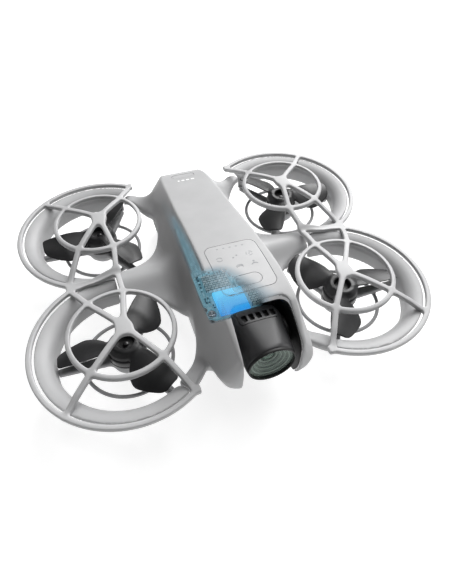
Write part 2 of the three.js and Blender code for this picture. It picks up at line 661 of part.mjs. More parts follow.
// Black liner of the bay: both cheeks' inner faces and the wall behind the pod.
function buildLiner() {
  const side = [
    [-58.8, -4.4], [-60.2, -0.4], [-60.7, 3], [-60.7, 7], [-60.3, 10.4], [-59.3, 12.8], [-57, 14.5], [-53.3, 17.1],
    [-50, 18.9], [-38, 18.9], [-38, -8.8], [-46, -7], [-54, -6.4], [-58, -5.6],
  ];
  const outer = sidePrism(side, BAY_HALF_WIDTH - GAP);
  const inner = block([-10.1, -70, -20], [10.1, -38.8, 30]);
  const liner = cut(outer, inner, tiltDrum(MOTOR_RADIUS + GAP, 9, 12));
  piece('camera_bay_liner', liner, finish(BLACK, 0.6));
}

// ---------------------------------------------------------------- electronics
function buildElectronics() {
  const outline = new THREE.Shape([
    [-13.6, BOARD_BACK], [-13.6, -35.6], [-13.2, -36], [13.2, -36], [13.6, -35.6], [13.6, BOARD_BACK],
  ].map(point2));
  const screwPlace = [-11.9, -33.6];
  outline.holes.push(new THREE.Path().absarc(...screwPlace, 0.9, 0, 2 * Math.PI));
  piece('mainboard', prism(outline, BOARD_TOP - 1, BOARD_TOP), finish(0x1f6f86, 0.5));
  const screw = lathe([[0, -2.3], [0.6, -2.3], [0.6, 0.3], [1.3, 0.3], [1.3, 1.1], [0, 1.1]], 12);
  piece('board_screw', screw.translate(...screwPlace, BOARD_TOP), finish(STEEL, 0.3, 0.9));
  const onBoard = BOARD_TOP + GAP;
  piece('memory_chip', block([-9.1, -35.8, onBoard], [2.3, -24.8, onBoard + 1.3]), finish(0x2f9be8, 0.35));
  piece('processor_shield', block([3.2, -35, onBoard], [12.4, -26, onBoard + 2]), finish(STEEL, 0.35, 0.8));
  piece('radio_shield', block([-10.8, -23.8, onBoard], [-1, -16, onBoard + 1.6]), finish(STEEL, 0.35, 0.8));
  const strip = block([-12.8, BOARD_BACK + GAP, BOARD_TOP - 1], [-9, 24, BOARD_TOP]);
  piece('side_board', strip, finish(0x1f6f86, 0.5));
  const spreader = block([-10.8, -35.6, BOARD_TOP - 5.4], [10.8, -14, BOARD_TOP - 1 - GAP]);
  piece('heat_spreader', spreader, finish(0x9aa0a5, 0.4, 0.9));
  const port = cut(
    block([-PORT_HALF_WIDTH, 50.6, PORT_LOW], [PORT_HALF_WIDTH, 58, PORT_HIGH]),
    block([-PORT_HALF_WIDTH + 0.5, 51.4, PORT_LOW + 0.5], [PORT_HALF_WIDTH - 0.5, 60, PORT_HIGH - 0.5]),
  );
  piece('charging_port', port, finish(STEEL, 0.3, 0.9));
}

// ---------------------------------------------------------------- assembly
buildShell();
buildLowerShell();
buildBattery();
for (const [end, endSign] of ENDS) {
  for (const [side, sideSign] of SIDES) {
    buildRotor(end, endSign, side, sideSign);
    buildDuct(end, endSign, side, sideSign);
    buildCage(end, side, sideSign);
    buildHoop(end, endSign, side, sideSign);
  }
}
for (const [side, sideSign] of SIDES) buildWaistBar(side, sideSign);
buildCamera();
buildLiner();
buildElectronics();

export default model;
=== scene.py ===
"""Looks of the mini palm drone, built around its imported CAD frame.

Shapes are worked out in millimetres in the "rim frame": the row frame with z measured from the plane
of the guard rims. Smooth moulded parts are distance fields turned into meshes; crisp seams are booleans.
"""

import json
import math

import bmesh
import bpy
import numpy as np
import openvdb
from mathutils import Matrix, Vector


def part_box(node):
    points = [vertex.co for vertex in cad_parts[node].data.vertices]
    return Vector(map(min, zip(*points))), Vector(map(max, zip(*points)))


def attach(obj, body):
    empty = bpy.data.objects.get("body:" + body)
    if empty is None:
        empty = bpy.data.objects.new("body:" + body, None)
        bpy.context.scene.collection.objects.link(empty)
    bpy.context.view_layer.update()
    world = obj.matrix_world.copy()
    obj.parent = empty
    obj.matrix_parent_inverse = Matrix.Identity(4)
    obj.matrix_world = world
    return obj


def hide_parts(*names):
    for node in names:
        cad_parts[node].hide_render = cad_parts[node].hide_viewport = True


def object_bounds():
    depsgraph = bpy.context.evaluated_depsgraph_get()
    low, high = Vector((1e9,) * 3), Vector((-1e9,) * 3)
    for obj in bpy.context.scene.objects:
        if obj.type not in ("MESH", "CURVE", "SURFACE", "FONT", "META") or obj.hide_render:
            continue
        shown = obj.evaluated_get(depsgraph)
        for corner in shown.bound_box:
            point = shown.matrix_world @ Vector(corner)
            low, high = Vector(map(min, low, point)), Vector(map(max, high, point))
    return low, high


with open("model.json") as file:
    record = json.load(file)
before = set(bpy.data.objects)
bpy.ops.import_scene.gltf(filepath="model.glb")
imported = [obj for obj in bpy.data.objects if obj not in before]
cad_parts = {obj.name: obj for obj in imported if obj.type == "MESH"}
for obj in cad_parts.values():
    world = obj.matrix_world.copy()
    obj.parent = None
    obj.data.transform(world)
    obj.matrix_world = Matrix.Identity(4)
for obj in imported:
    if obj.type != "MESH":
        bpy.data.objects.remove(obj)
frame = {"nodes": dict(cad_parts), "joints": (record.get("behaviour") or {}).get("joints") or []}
CAD_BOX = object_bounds()

# ------------------------------------------------------------------ driving dimensions, in millimetres
MM = 0.001
HOOP_CREST = 0.6  # the rim plane lies this far below the top of the guard hoops
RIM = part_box("guard_hoop_front_left")[1].z / MM - HOOP_CREST
ENDS = {"front": -1, "rear": 1}
SIDES = {"left": 1, "right": -1}
AXES = {joint["name"]: Vector(joint["pos_m"]) / MM for joint in frame["joints"] if "pos_m" in joint}
ROTOR_X = AXES["rotor_spin_front_left"].x
ROTOR_Y = -AXES["rotor_spin_front_left"].y
PIVOT_Y = AXES["camera_tilt"].y
PIVOT_Z = AXES["camera_tilt"].z - RIM
GAP = 0.3
WALL = 1.6
DUCT_BORE = 25.5
DUCT_RIM = 31.6
ARM_END_X = 41.3
SHELL_BOTTOM = -9.5
LIMB_BOTTOM = -6.0
BELLY = -RIM
BAY_HALF_WIDTH = 11.2
LIP_HALF_WIDTH = 10.2
BAY_BACK = -37.6
NOTCH_EDGE = -45.3
POD_HALF_WIDTH = 8.5
POD_RADIUS = 9.7
LENS_RADIUS = 8.6
LENS_FACE_Y = -61.3

# body profiles as (y, value) pairs, from nose to tail
TOP_HEIGHT = [
    (-62.1, 11.2), (-61.5, 13.0), (-60.4, 14.4), (-57.6, 16.4),
    (-54, 18.8), (-50.5, 20.9), (-48, 22.0), (-45.3, 22.4),
    (-42, 22.7), (-37, 22.8), (-30, 22.6), (-16, 20.9), (15, 14.2),
    (48, 7.2), (54, 5.4), (57.2, 2.6), (59.3, -2.5),
]
CREST_HEIGHT = [(-62.5, 11.0), (-61, 13.2)] + TOP_HEIGHT[2:-2] + [(60, 4.2)]
TOP_HALF_WIDTH = [
    (-62.5, 11.2), (-57, 11.8), (-50, 12.5), (-45, 12.9), (-40, 12.9), (-16, 12.3), (48, 10.8), (59, 8),
]
SIDE_HALF_WIDTH = [
    (-62.5, 11.4), (-62.1, 13.0), (-60.9, 15.2), (-58.8, 16.7),
    (-55.5, 17.6), (-50, 18.2), (-42, 18.9), (-34, 19.1),
    (-20, 17.9), (0, 17.4), (30, 17.8), (46, 17.6), (53, 15.8), (57, 12.6), (59.5, 8.5),
]
SIDE_HEIGHT = [(-62.5, 4.5), (-54, 4.5), (-48, 3), (-40, 1.5), (20, -0.5), (59.5, -3)]


# ------------------------------------------------------------------ distance fields
def smooth_min(a, b, k):
    h = np.clip(0.5 + 0.5 * (b - a) / k, 0, 1)
    return b + (a - b) * h - k * h * (1 - h)


def smooth_max(a, b, k):
    return -smooth_min(-a, -b, k)


def smooth_step(low, high, value):
    t = np.clip((value - low) / (high - low), 0, 1)
    return t * t * (3 - 2 * t)


class Curve:
    """A smooth curve through a short table of (position, value) pairs that doesn't overshoot."""

    def __init__(self, table):
        self.x, self.v = np.array(table, float).T
        step = np.diff(self.x)
        slope = np.diff(self.v) / step
        self.d = np.concatenate([[slope[0]], np.zeros(len(slope) - 1), [slope[-1]]])
        same = slope[1:] * slope[:-1] > 0
        weight = step[1:] + step[:-1]
        a, b = weight + step[1:], weight + step[:-1]
        with np.errstate(divide="ignore"):
            harmonic = 3 * weight / (a / slope[:-1] + b / slope[1:])
        self.d[1:-1] = np.where(same, harmonic, 0)

    def __call__(self, at):
        at = np.clip(at, self.x[0], self.x[-1])
        i = np.clip(np.searchsorted(self.x, at) - 1, 0, len(self.x) - 2)
        h = self.x[i + 1] - self.x[i]
        t = (at - self.x[i]) / h
        start = self.v[i] + (self.v[i + 1] - self.v[i]) * t * t * (3 - 2 * t)
        return start + h * t * (1 - t) * (self.d[i] * (1 - t) - self.d[i + 1] * t)


def outline_distance(points, u, v):
    """Signed distance, negative inside, from (u, v) to a closed outline."""
    points = np.array(points, float)
    best = np.full(np.broadcast(u, v).shape, 1e9)
    inside = np.zeros(best.shape, bool)
    for (au, av), (bu, bv) in zip(points, np.roll(points, -1, axis=0)):
        du, dv = bu - au, bv - av
        t = np.clip(((u - au) * du + (v - av) * dv) / (du * du + dv * dv), 0, 1)
        best = np.minimum(best, (u - au - t * du) ** 2 + (v - av - t * dv) ** 2)
        crosses = (av > v) != (bv > v)
        if dv:
            inside ^= crosses & (u < au + (v - av) * du / dv)
    return np.where(inside, -1, 1) * np.sqrt(best)


def box_distance(u, v, half_u, half_v, radius):
    """Rounded rectangle about the origin of (u, v)."""
    du, dv = np.abs(u) - half_u + radius, np.abs(v) - half_v + radius
    return np.hypot(np.maximum(du, 0), np.maximum(dv, 0)) + np.minimum(np.maximum(du, dv), 0) - radius


def mesh_of_field(field, low, high, step, mirror=False):
    """Vertices and quads of the field's zero surface. mirror: the field is even in x and low starts at 0."""
    axes = [np.arange(a, b + step, step) for a, b in zip(low, high)]
    x, y, z = np.meshgrid(*axes, indexing="ij", sparse=True)
    values = np.broadcast_to(field(x, y, z), [len(a) for a in axes]).astype(np.float32)
    start = np.array(low, float)
    if mirror:
        values = np.concatenate([values[:0:-1], values])
        start[0] -= step * (len(axes[0]) - 1)
    grid = openvdb.FloatGrid(3.0)
    grid.copyFromArray(np.ascontiguousarray(np.clip(values, -3, 3)))
    points, quads = grid.convertToQuads(0.0)
    points = points.astype(float) * step + start
    nudge = 0.2 * step
    for _ in range(3):  # a few Newton steps put the vertices on the exact surface
        value = field(*points.T)
        rise = [field(*(points + side).T) - field(*(points - side).T) for side in nudge * np.eye(3)]
        slope = np.stack(rise, axis=1) / (2 * nudge)
        length2 = np.maximum((slope**2).sum(1), 0.25)
        move = -(value / length2)[:, None] * slope
        points += np.clip(move, -0.5 * step, 0.5 * step)
    return points, quads[:, ::-1]


# ------------------------------------------------------------------ meshes and pieces
def to_row(points):
    """Rim-frame millimetres to row-frame metres."""
    return (np.asarray(points, float) + [0, 0, RIM]) * MM


def smooth_shading(mesh, sharp_angle=35):
    mesh.polygons.foreach_set("use_smooth", np.ones(len(mesh.polygons), bool))
    mesh.set_sharp_from_angle(angle=math.radians(sharp_angle))


def in_scene(name, data):
    made = bpy.data.objects.new(name, data)
    bpy.context.scene.collection.objects.link(made)
    return made


def object_of(name, points, faces):
    """An object with these rim-frame points, its normals facing out."""
    mesh = bpy.data.meshes.new(name)
    mesh.from_pydata(to_row(points).tolist(), [], [list(face) for face in faces])
    work = bmesh.new()
    work.from_mesh(mesh)
    bmesh.ops.recalc_face_normals(work, faces=work.faces)
    if work.calc_volume(signed=True) < 0:
        bmesh.ops.reverse_faces(work, faces=work.faces)
    work.to_mesh(mesh)
    work.free()
    return in_scene(name, mesh)


def field_object(name, field, low, high, step, mirror=False):
    return object_of(name, *mesh_of_field(field, low, high, step, mirror))


def combine(target, tool, operation):
    """Applies a boolean of tool to target and removes the tool."""
    change = target.modifiers.new("combine", "BOOLEAN")
    change.object = tool
    change.operation = operation
    change.solver = "MANIFOLD"
    graph = bpy.context.evaluated_depsgraph_get()
    mesh = bpy.data.meshes.new_from_object(target.evaluated_get(graph), depsgraph=graph)
    target.modifiers.clear()
    old = target.data
    target.data = mesh
    bpy.data.meshes.remove(old)
    tool_mesh = tool.data
    bpy.data.objects.remove(tool)
    bpy.data.meshes.remove(tool_mesh)
    return target


def cut(target, tool):
    return combine(target, tool, "DIFFERENCE")


def arc(centre, radius, start, end, count):
    """Points on an arc, angles in degrees; radius may be a (u, v) pair."""
    ru, rv = radius if isinstance(radius, tuple) else (radius, radius)
    return [
        (centre[0] + ru * math.cos(a), centre[1] + rv * math.sin(a))
        for a in np.radians(np.linspace(start, end, count))
    ]


def rounded_box_outline(half_u, low_v, high_v, radius, count=7):
    """Rounded rectangle, anticlockwise."""
    corners = [
        ((half_u - radius, low_v + radius), -90), ((half_u - radius, high_v - radius), 0),
        ((-half_u + radius, high_v - radius), 90), ((-half_u + radius, low_v + radius), 180),
    ]
    return [point for centre, start in corners for point in arc(centre, radius, start, start + 90, count)]


def moved(outline, dx, dy):
    return [(x + dx, y + dy) for x, y in outline]


def between_rings(sections, count, closed=False):
    """Quads between rings of count points, in order; closed joins the last ring to the first."""
    faces = []
    for s in range(sections if closed else sections - 1):
        here, above = s * count, (s + 1) % sections * count
        for i in range(count):
            j = (i + 1) % count
            faces.append((here + i, here + j, above + j, above + i))
    return faces


def capped_rings(sections, count):
    """The same with a fan over each end, to the two points that follow the rings."""
    first, last, rim = sections * count, sections * count + 1, (sections - 1) * count
    faces = between_rings(sections, count)
    for i in range(count):
        j = (i + 1) % count
        faces += [(first, j, i), (last, rim + i, rim + j)]
    return faces


def loft(name, rings):
    """Closed body through equal rings of 3-D points."""
    rings = np.array(rings, float)
    points = np.concatenate([rings.reshape(-1, 3), rings[0].mean(0)[None], rings[-1].mean(0)[None]])
    return object_of(name, points, capped_rings(*rings.shape[:2]))


def prism(name, outline, low, high):
    """Upright prism of a plan outline."""
    return loft(name, [[(x, y, z) for x, y in outline] for z in (low, high)])


def prism_along_y(name, outline, front, back):
    """Level prism of an (x, z) outline."""
    return loft(name, [[(x, y, z) for x, z in outline] for y in (front, back)])


def lathe(name, profile, centre=(0, 0, 0), axis="z", steps=48):
    """Body turned from a closed (radius, height) profile; its first and last points lie on the axis."""
    angles = np.arange(steps) * 2 * math.pi / steps
    points = [(r * math.cos(a), r * math.sin(a), h) for r, h in profile[1:-1] for a in angles]
    points = np.array(points + [(0, 0, profile[0][1]), (0, 0, profile[-1][1])])
    order = {"x": [2, 0, 1], "y": [0, 2, 1], "z": [0, 1, 2]}[axis]
    return object_of(name, points[:, order] + centre, capped_rings(len(profile) - 2, steps))


def bevelled(profile, size, steps=3):
    """A closed lathe profile with its off-axis corners rounded."""
    result = [profile[0]]
    for before, here, after in zip(profile, profile[1:], profile[2:]):
        a, b, c = (Vector(p) for p in (before, here, after))
        reach = min(size, 0.45 * (a - b).length, 0.45 * (c - b).length)
        start, end = b + (a - b).normalized() * reach, b + (c - b).normalized() * reach
        for t in np.linspace(0, 1, steps):
            result.append(tuple(start * (1 - t) ** 2 + b * 2 * t * (1 - t) + end * t * t))
    result.append(profile[-1])
    return result


def piece(made, body, material, replaces=(), sharp_angle=35):
    """Finishes a piece: material, shading, body and the CAD nodes it stands for."""
    made.data.materials.clear()
    made.data.materials.append(material)
    smooth_shading(made.data, sharp_angle)
    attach(made, body)
    if replaces:
        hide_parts(*replaces)
    return made


# ------------------------------------------------------------------ materials
def node_material(name):
    material = bpy.data.materials.new(name)
    material.use_nodes = True
    return material, material.node_tree, material.node_tree.nodes["Principled BSDF"]


def add_node(tree, kind, inputs=None, **settings):
    made = tree.nodes.new(kind)
    for key, value in settings.items():
        setattr(made, key, value)
    for key, value in (inputs or {}).items():
        if isinstance(value, bpy.types.NodeSocket):
            tree.links.new(value, made.inputs[key])
        else:
            made.inputs[key].default_value = value
    return made


def place_in(tree):
    return add_node(tree, "ShaderNodeTexCoord").outputs["Object"]


def coordinates(tree):
    return add_node(tree, "ShaderNodeSeparateXYZ", {"Vector": place_in(tree)}).outputs


def noise(tree, scale, detail=3.0):
    """Noise in object space; scale is in cells per metre."""
    inputs = {"Vector": place_in(tree), "Scale": scale, "Detail": detail, "Roughness": 0.5}
    return add_node(tree, "ShaderNodeTexNoise", inputs).outputs["Fac"]


def set_surface(tree, shader, tone, roughness):
    tree.links.new(tone, shader.inputs["Base Color"])
    tree.links.new(roughness, shader.inputs["Roughness"])


def ramp(tree, factor, low, high, to_low=0.0, to_high=1.0, smooth=False):
    made = add_node(tree, "ShaderNodeMapRange", {
        "Value": factor, "From Min": low, "From Max": high, "To Min": to_low, "To Max": to_high,
    })
    if smooth:
        made.interpolation_type = "SMOOTHSTEP"
    return made.outputs["Result"]


def arithmetic(tree, operation, a, b):
    return add_node(tree, "ShaderNodeMath", {0: a, 1: b}, operation=operation).outputs[0]


def product(tree, *factors):
    result = factors[0]
    for factor in factors[1:]:
        result = arithmetic(tree, "MULTIPLY", result, factor)
    return result


# The clear part of the skin is bounded in metres of the row frame. y + SIGHT * z stays the same along a
# sight line over the mainboard, and x + CORNER_SLANT * y along the clear corner's edge on the top. Below,
# the clear part ends at the plane z + FLOOR_SLOPE * y = SEE_FLOOR, which falls a little towards the tail.
SIGHT = 0.72
CORNER_SLANT = 0.65
FLOOR_SLOPE = 0.128
CLEAR = 0.84  # how clear the skin is at most
SEE_FLOOR = MM * (RIM + 4.9 + 33.4 * FLOOR_SLOPE)
BOARD_SIGHT, BOARD_BACK = (corner.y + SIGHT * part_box("mainboard")[1].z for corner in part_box("mainboard"))


def skin_share(tree):
    """1 where the front right of the outer skin shows the electronics, falling softly to 0 around it."""
    x, y, z = coordinates(tree)
    soft = lambda *values: ramp(tree, *values, smooth=True)
    plus = lambda a, b, share: arithmetic(tree, "ADD", a, arithmetic(tree, "MULTIPLY", b, share))
    sight = plus(y, z, SIGHT)
    nearer = soft(sight, BOARD_BACK - 0.001, BOARD_BACK - 0.006)
    corner = product(tree, soft(plus(x, y, CORNER_SLANT), -0.0202, -0.0282), nearer)
    flank = product(tree, soft(x, -0.0118, -0.0134, 0, 0.72), soft(y, -0.012, 0.044, 1, 0))
    ahead = soft(sight, BOARD_SIGHT - 0.0016, BOARD_SIGHT - 0.0008)
    above = soft(plus(z, y, FLOOR_SLOPE), SEE_FLOOR - 0.0012, SEE_FLOOR + 0.0006)
    return product(tree, arithmetic(tree, "MAXIMUM", corner, flank), ahead, above)


def inside_share(tree):
    """Clears what lies between that part of the skin and the electronics."""
    x, y, z = coordinates(tree)
    soft = lambda *values: ramp(tree, *values, smooth=True)
    bay_back, rim = MM * BAY_BACK, MM * RIM
    wide = product(tree, soft(x, 0.0125, 0.009), ramp(tree, y, bay_back - 0.0010, bay_back - 0.0003))
    across = arithmetic(tree, "MAXIMUM", soft(x, 0.006, 0.001), wide)
    return product(tree, across, soft(y, 0.030, 0.010), soft(z, rim + 0.002, rim + 0.0035))


def make_see_through(material, share_of, strength, tint):
    """Lets the electronics show through; the surface turns towards the tint as it clears."""
    tree = material.node_tree
    shader = tree.nodes["Principled BSDF"]
    share = share_of(tree)
    plain = shader.inputs["Base Color"].links[0].from_socket
    tinted = mix_colour(tree, product(tree, share, 0.8), plain, tint)
    tree.links.new(tinted, shader.inputs["Base Color"])
    tree.links.new(ramp(tree, share, 0, 1, 1, 1 - strength), shader.inputs["Alpha"])
    return material


def mix_colour(tree, factor, a, b):
    made = add_node(tree, "ShaderNodeMix", data_type="RGBA")
    for socket, value in ((made.inputs[0], factor), (made.inputs[6], a), (made.inputs[7], b)):
        if isinstance(value, bpy.types.NodeSocket):
            tree.links.new(value, socket)
        else:
            socket.default_value = value
    return made.outputs[2]


def moulded_plastic(name, colour, roughness, grain=9000, grain_depth=0.00002, mottle=0.05):
    """Fine spark-eroded texture, faint flow mottling and slightly uneven gloss."""
    material, tree, shader = node_material(name)
    cloud = ramp(tree, noise(tree, 60, 4), 0.35, 0.65)
    dark, light = ([min(c * (1 + change), 1) for c in colour] + [1] for change in (-mottle, mottle))
    fine = noise(tree, grain, 2)
    gloss = ramp(tree, fine, 0.3, 0.7, roughness - 0.05, roughness + 0.06)
    set_surface(tree, shader, mix_colour(tree, cloud, dark, light), gloss)
    bump = add_node(tree, "ShaderNodeBump", {"Height": fine, "Strength": 0.35, "Distance": grain_depth})
    tree.links.new(bump.outputs["Normal"], shader.inputs["Normal"])
    return material


def metal(name, colour, roughness):
    material, tree, shader = node_material(name)
    shader.inputs["Metallic"].default_value = 1.0
    worn = noise(tree, 4000)
    tone = mix_colour(tree, ramp(tree, worn, 0.3, 0.7), [c * 0.8 for c in colour] + [1], list(colour) + [1])
    set_surface(tree, shader, tone, ramp(tree, worn, 0.3, 0.7, roughness - 0.06, roughness + 0.08))
    return material


def add_painted_glow(material, strength):
    """Adds a painted glow: a little light of the material's own colour, though the part is no lamp."""
    shader = material.node_tree.nodes["Principled BSDF"]
    tone = shader.inputs["Base Color"].links[0].from_socket
    material.node_tree.links.new(tone, shader.inputs["Emission Color"])
    shader.inputs["Emission Strength"].default_value = strength
    return material


SHELL_TONE, CLEAR_TINT = (0.40, 0.401, 0.406), (0.36, 0.52, 0.62, 1)
SHELL = make_see_through(moulded_plastic("shell_plastic", SHELL_TONE, 0.5), skin_share, CLEAR, CLEAR_TINT)
# The inside faces of the shell carry a painted glow.
SHELL_INSIDE = moulded_plastic("shell_inside", SHELL_TONE, 0.5)
SHELL_INSIDE = add_painted_glow(make_see_through(SHELL_INSIDE, inside_share, 1.0, CLEAR_TINT), 0.55)
PANEL = moulded_plastic("panel_plastic", (0.42, 0.421, 0.426), 0.42, grain=14000)
PANEL = make_see_through(PANEL, skin_share, CLEAR, CLEAR_TINT)
# Painted shadow: a dark material for the upright walls of the seams.
SEAM_SHADOW = moulded_plastic("seam_shadow", (0.08, 0.085, 0.09), 0.7, mottle=0.1)
SEAM_SHADOW = make_see_through(SEAM_SHADOW, skin_share, 0.75, CLEAR_TINT)
LINER = moulded_plastic("bay_liner_black", (0.005, 0.005, 0.005), 0.55, mottle=0.2)
LINER = make_see_through(LINER, inside_share, 0.97, (0.02, 0.03, 0.04, 1))
LIP = moulded_plastic("duct_lip_plastic", SHELL_TONE, 0.5)
GUARD = moulded_plastic("guard_plastic", (0.46, 0.461, 0.466), 0.5)
MOUNT = moulded_plastic("mount_plastic", (0.27, 0.271, 0.276), 0.5)
PROP = moulded_plastic("propeller_plastic", (0.012, 0.012, 0.013), 0.46, mottle=0.12)
MOTOR_BLACK = moulded_plastic("motor_black", (0.012, 0.012, 0.013), 0.3, mottle=0.15)
POD = moulded_plastic("pod_graphite", (0.039, 0.039, 0.041), 0.38, 14000, grain_depth=0.00001, mottle=0.06)
TRIM = moulded_plastic("black_trim", (0.006, 0.006, 0.006), 0.5, mottle=0.2)
BUCKLE = moulded_plastic("buckle_grey", (0.05, 0.05, 0.053), 0.45, mottle=0.1)
INK = moulded_plastic("panel_ink", (0.28, 0.29, 0.30), 0.5, mottle=0.1)
WHITE_INK = moulded_plastic("white_ink", (0.93, 0.93, 0.93), 0.4, mottle=0.03)
WINDOW = moulded_plastic("sensor_window", (0.004, 0.004, 0.006), 0.12, mottle=0.2)
LENS_COAT = moulded_plastic("lens_coat", (0.02, 0.05, 0.035), 0.05, grain=300, mottle=0.3)
# The small parts and tracks of the boards carry a painted glow.
PALE_PART = add_painted_glow(moulded_plastic("pale_component", (0.30, 0.52, 0.60), 0.4, mottle=0.3), 0.45)
DARK_PART = add_painted_glow(moulded_plastic("dark_component", (0.01, 0.06, 0.09), 0.4, mottle=0.3), 0.4)
STEEL = metal("shield_steel", (0.55, 0.58, 0.62), 0.34)
COPPER = metal("winding_copper", (0.72, 0.33, 0.14), 0.35)
ALUMINIUM = metal("spreader_aluminium", (0.6, 0.61, 0.62), 0.42)


def brick_tone(tree, scale, mortar, width, row, colours):
    inputs = {"Vector": place_in(tree), "Scale": scale, "Mortar Size": mortar, "Brick Width": width}
    inputs.update({"Row Height": row, "Color1": colours[0], "Color2": colours[1], "Mortar": colours[2]})
    return add_node(tree, "ShaderNodeTexBrick", inputs).outputs["Color"]


def part_gloss(tree, scale=3000, dull=0.45):
    """Slightly uneven roughness of the small parts."""
    return ramp(tree, noise(tree, scale), 0.3, 0.7, 0.3, dull)


def circuit_board():
    """Teal solder mask with fine copper tracks under it, glowing a little as in a cutaway drawing."""
    material, tree, shader = node_material("circuit_board")
    tracks = brick_tone(tree, 900, 0.03, 0.9, 0.35, ((0, 0, 0, 1), (0.1, 0.1, 0.1, 1), (1, 1, 1, 1)))
    base = mix_colour(tree, noise(tree, 400), (0.07, 0.20, 0.26, 1), (0.15, 0.37, 0.45, 1))
    tone = mix_colour(tree, ramp(tree, tracks, 0, 1, 0, 0.6), base, (0.36, 0.62, 0.70, 1))
    set_surface(tree, shader, tone, part_gloss(tree))
    return add_painted_glow(material, 0.5)


def etched_can():
    """Shield can etched with a dense pattern of the parts below it, with a painted glow."""
    material, tree, shader = node_material("etched_shield")
    blues = ((0.30, 0.48, 0.54, 1), (0.55, 0.71, 0.76, 1), (0.02, 0.09, 0.13, 1))
    greys = ((0.5, 0.5, 0.5, 1), (1, 1, 1, 1), (0.25, 0.25, 0.25, 1))
    mixed = add_node(tree, "ShaderNodeMix", data_type="RGBA", blend_type="MULTIPLY")
    mixed.inputs[0].default_value = 0.7
    tree.links.new(brick_tone(tree, 420, 0.05, 0.7, 0.45, blues), mixed.inputs[6])
    tree.links.new(brick_tone(tree, 1100, 0.06, 0.5, 0.5, greys), mixed.inputs[7])
    set_surface(tree, shader, mixed.outputs[2], part_gloss(tree))
    shader.inputs["Metallic"].default_value = 0.4
    return add_painted_glow(material, 0.55)


def chip_blue():
    """Bright blue package that pales towards the rear, with a painted glow."""
    material, tree, shader = node_material("memory_blue")
    low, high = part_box("memory_chip")
    along = ramp(tree, coordinates(tree)["Y"], low.y, high.y)
    tone = mix_colour(tree, along, (0.02, 0.30, 0.80, 1), (0.10, 0.60, 0.92, 1))
    grain = ramp(tree, noise(tree, 2500), 0.3, 0.7, 0, 0.12)
    tone = mix_colour(tree, grain, tone, (0.2, 0.6, 0.95, 1))
    set_surface(tree, shader, tone, part_gloss(tree, 4000, dull=0.4))
    return add_painted_glow(material, 0.95)


def clear_glass():
    """Coated cover glass: see-through, with a weak mirror share from each face."""
    material, tree, shader = node_material("cover_glass")
    tree.nodes.remove(shader)
    clear = add_node(tree, "ShaderNodeBsdfTransparent", {"Color": (0.93, 0.96, 0.94, 1)})
    gloss = add_node(tree, "ShaderNodeBsdfGlossy", {"Color": (0.8, 0.9, 0.85, 1), "Roughness": 0.08})
    mirror_share = ramp(tree, noise(tree, 300), 0.3, 0.7, 0.015, 0.022)
    mixed = add_node(tree, "ShaderNodeMixShader", {0: mirror_share, 1: clear.outputs[0], 2: gloss.outputs[0]})
    tree.links.new(mixed.outputs[0], tree.nodes["Material Output"].inputs["Surface"])
    return material


def ringed_barrel():
    """Inside of the lens: dark, with pale rings painted on as highlights on the edges of its stepped rings,
    and a painted glow.
    """
    material, tree, shader = node_material("lens_step")
    to_axis = {0: place_in(tree), 1: (0, 0, MM * (PIVOT_Z + RIM))}
    centred = add_node(tree, "ShaderNodeVectorMath", to_axis, operation="SUBTRACT").outputs[0]
    # Painted highlights: pale rings about the lens axis.
    waves = {"Vector": centred, "Scale": 260, "Distortion": 0.0}
    rings = add_node(tree, "ShaderNodeTexWave", waves, wave_type="RINGS", rings_direction="Y").outputs["Fac"]
    tone = mix_colour(tree, ramp(tree, rings, 0.6, 0.95), (0.034, 0.041, 0.038, 1), (0.105, 0.118, 0.110, 1))
    set_surface(tree, shader, tone, part_gloss(tree, dull=0.4))
    return add_painted_glow(material, 0.55)


BOARD, CHIP, ETCHED, GLASS, LENS_STEP = (
    make() for make in (circuit_board, chip_blue, etched_can, clear_glass, ringed_barrel)
)


# ------------------------------------------------------------------ upper shell
top_height, crest_height, top_half_width, side_half_width, side_height = (
    Curve(table) for table in (TOP_HEIGHT, CREST_HEIGHT, TOP_HALF_WIDTH, SIDE_HALF_WIDTH, SIDE_HEIGHT)
)


def side_view_outline():
    """Side view of the body as (y, z) points: the top line, then the underside back to the nose."""
    spans = ((-62.1, -44.3, 40), (-43, 54, 40), (55, 59.3, 10))
    stations = np.concatenate([np.linspace(*span) for span in spans])
    nose = [
        (-62.3, 9.6), (-62.5, 7.6), (-62.55, 5), (-62.45, 2.5), (-62.2, 0.2), (-61.6, -2.2), (-60.6, -4.3),
        (-59.4, -5.7), (-57.5, -6.8), (-54, -7.6), (-47, -8.2), (-43, SHELL_BOTTOM),
    ]
    tail = [(59, SHELL_BOTTOM + 1.5), (57.5, SHELL_BOTTOM)]
    return [(y, float(top_height(y))) for y in stations] + tail + nose[::-1]


SIDE_VIEW = side_view_outline()


def hull_field(x, y, z):
    """The body without arms: the side view, closed in by two leaning flanks."""
    across = np.abs(x)
    crest, crease = crest_height(y), top_half_width(y)
    side, foot = side_half_width(y), side_height(y)
    depth = np.clip((crest - z) / (crest - foot), -0.2, 1.15)
    width = crease + (side - crease) * depth * (1.12 - 0.12 * depth)
    lean = (side - crease) / (crest - foot)
    nose_turn = 1 + 0.5 * smooth_step(-52, -60, y)
    flank = (across - width) / np.sqrt(1 + lean**2) / nose_turn
    under = smooth_step(-44, -52, y)
    tuck = under * np.maximum(foot + 3 - z, 0) ** 2 * 0.015
    side_view = outline_distance(SIDE_VIEW, y, z)
    return smooth_max(side_view, flank + tuck, 0.5 + 2.5 * under * smooth_step(2, -4, z))


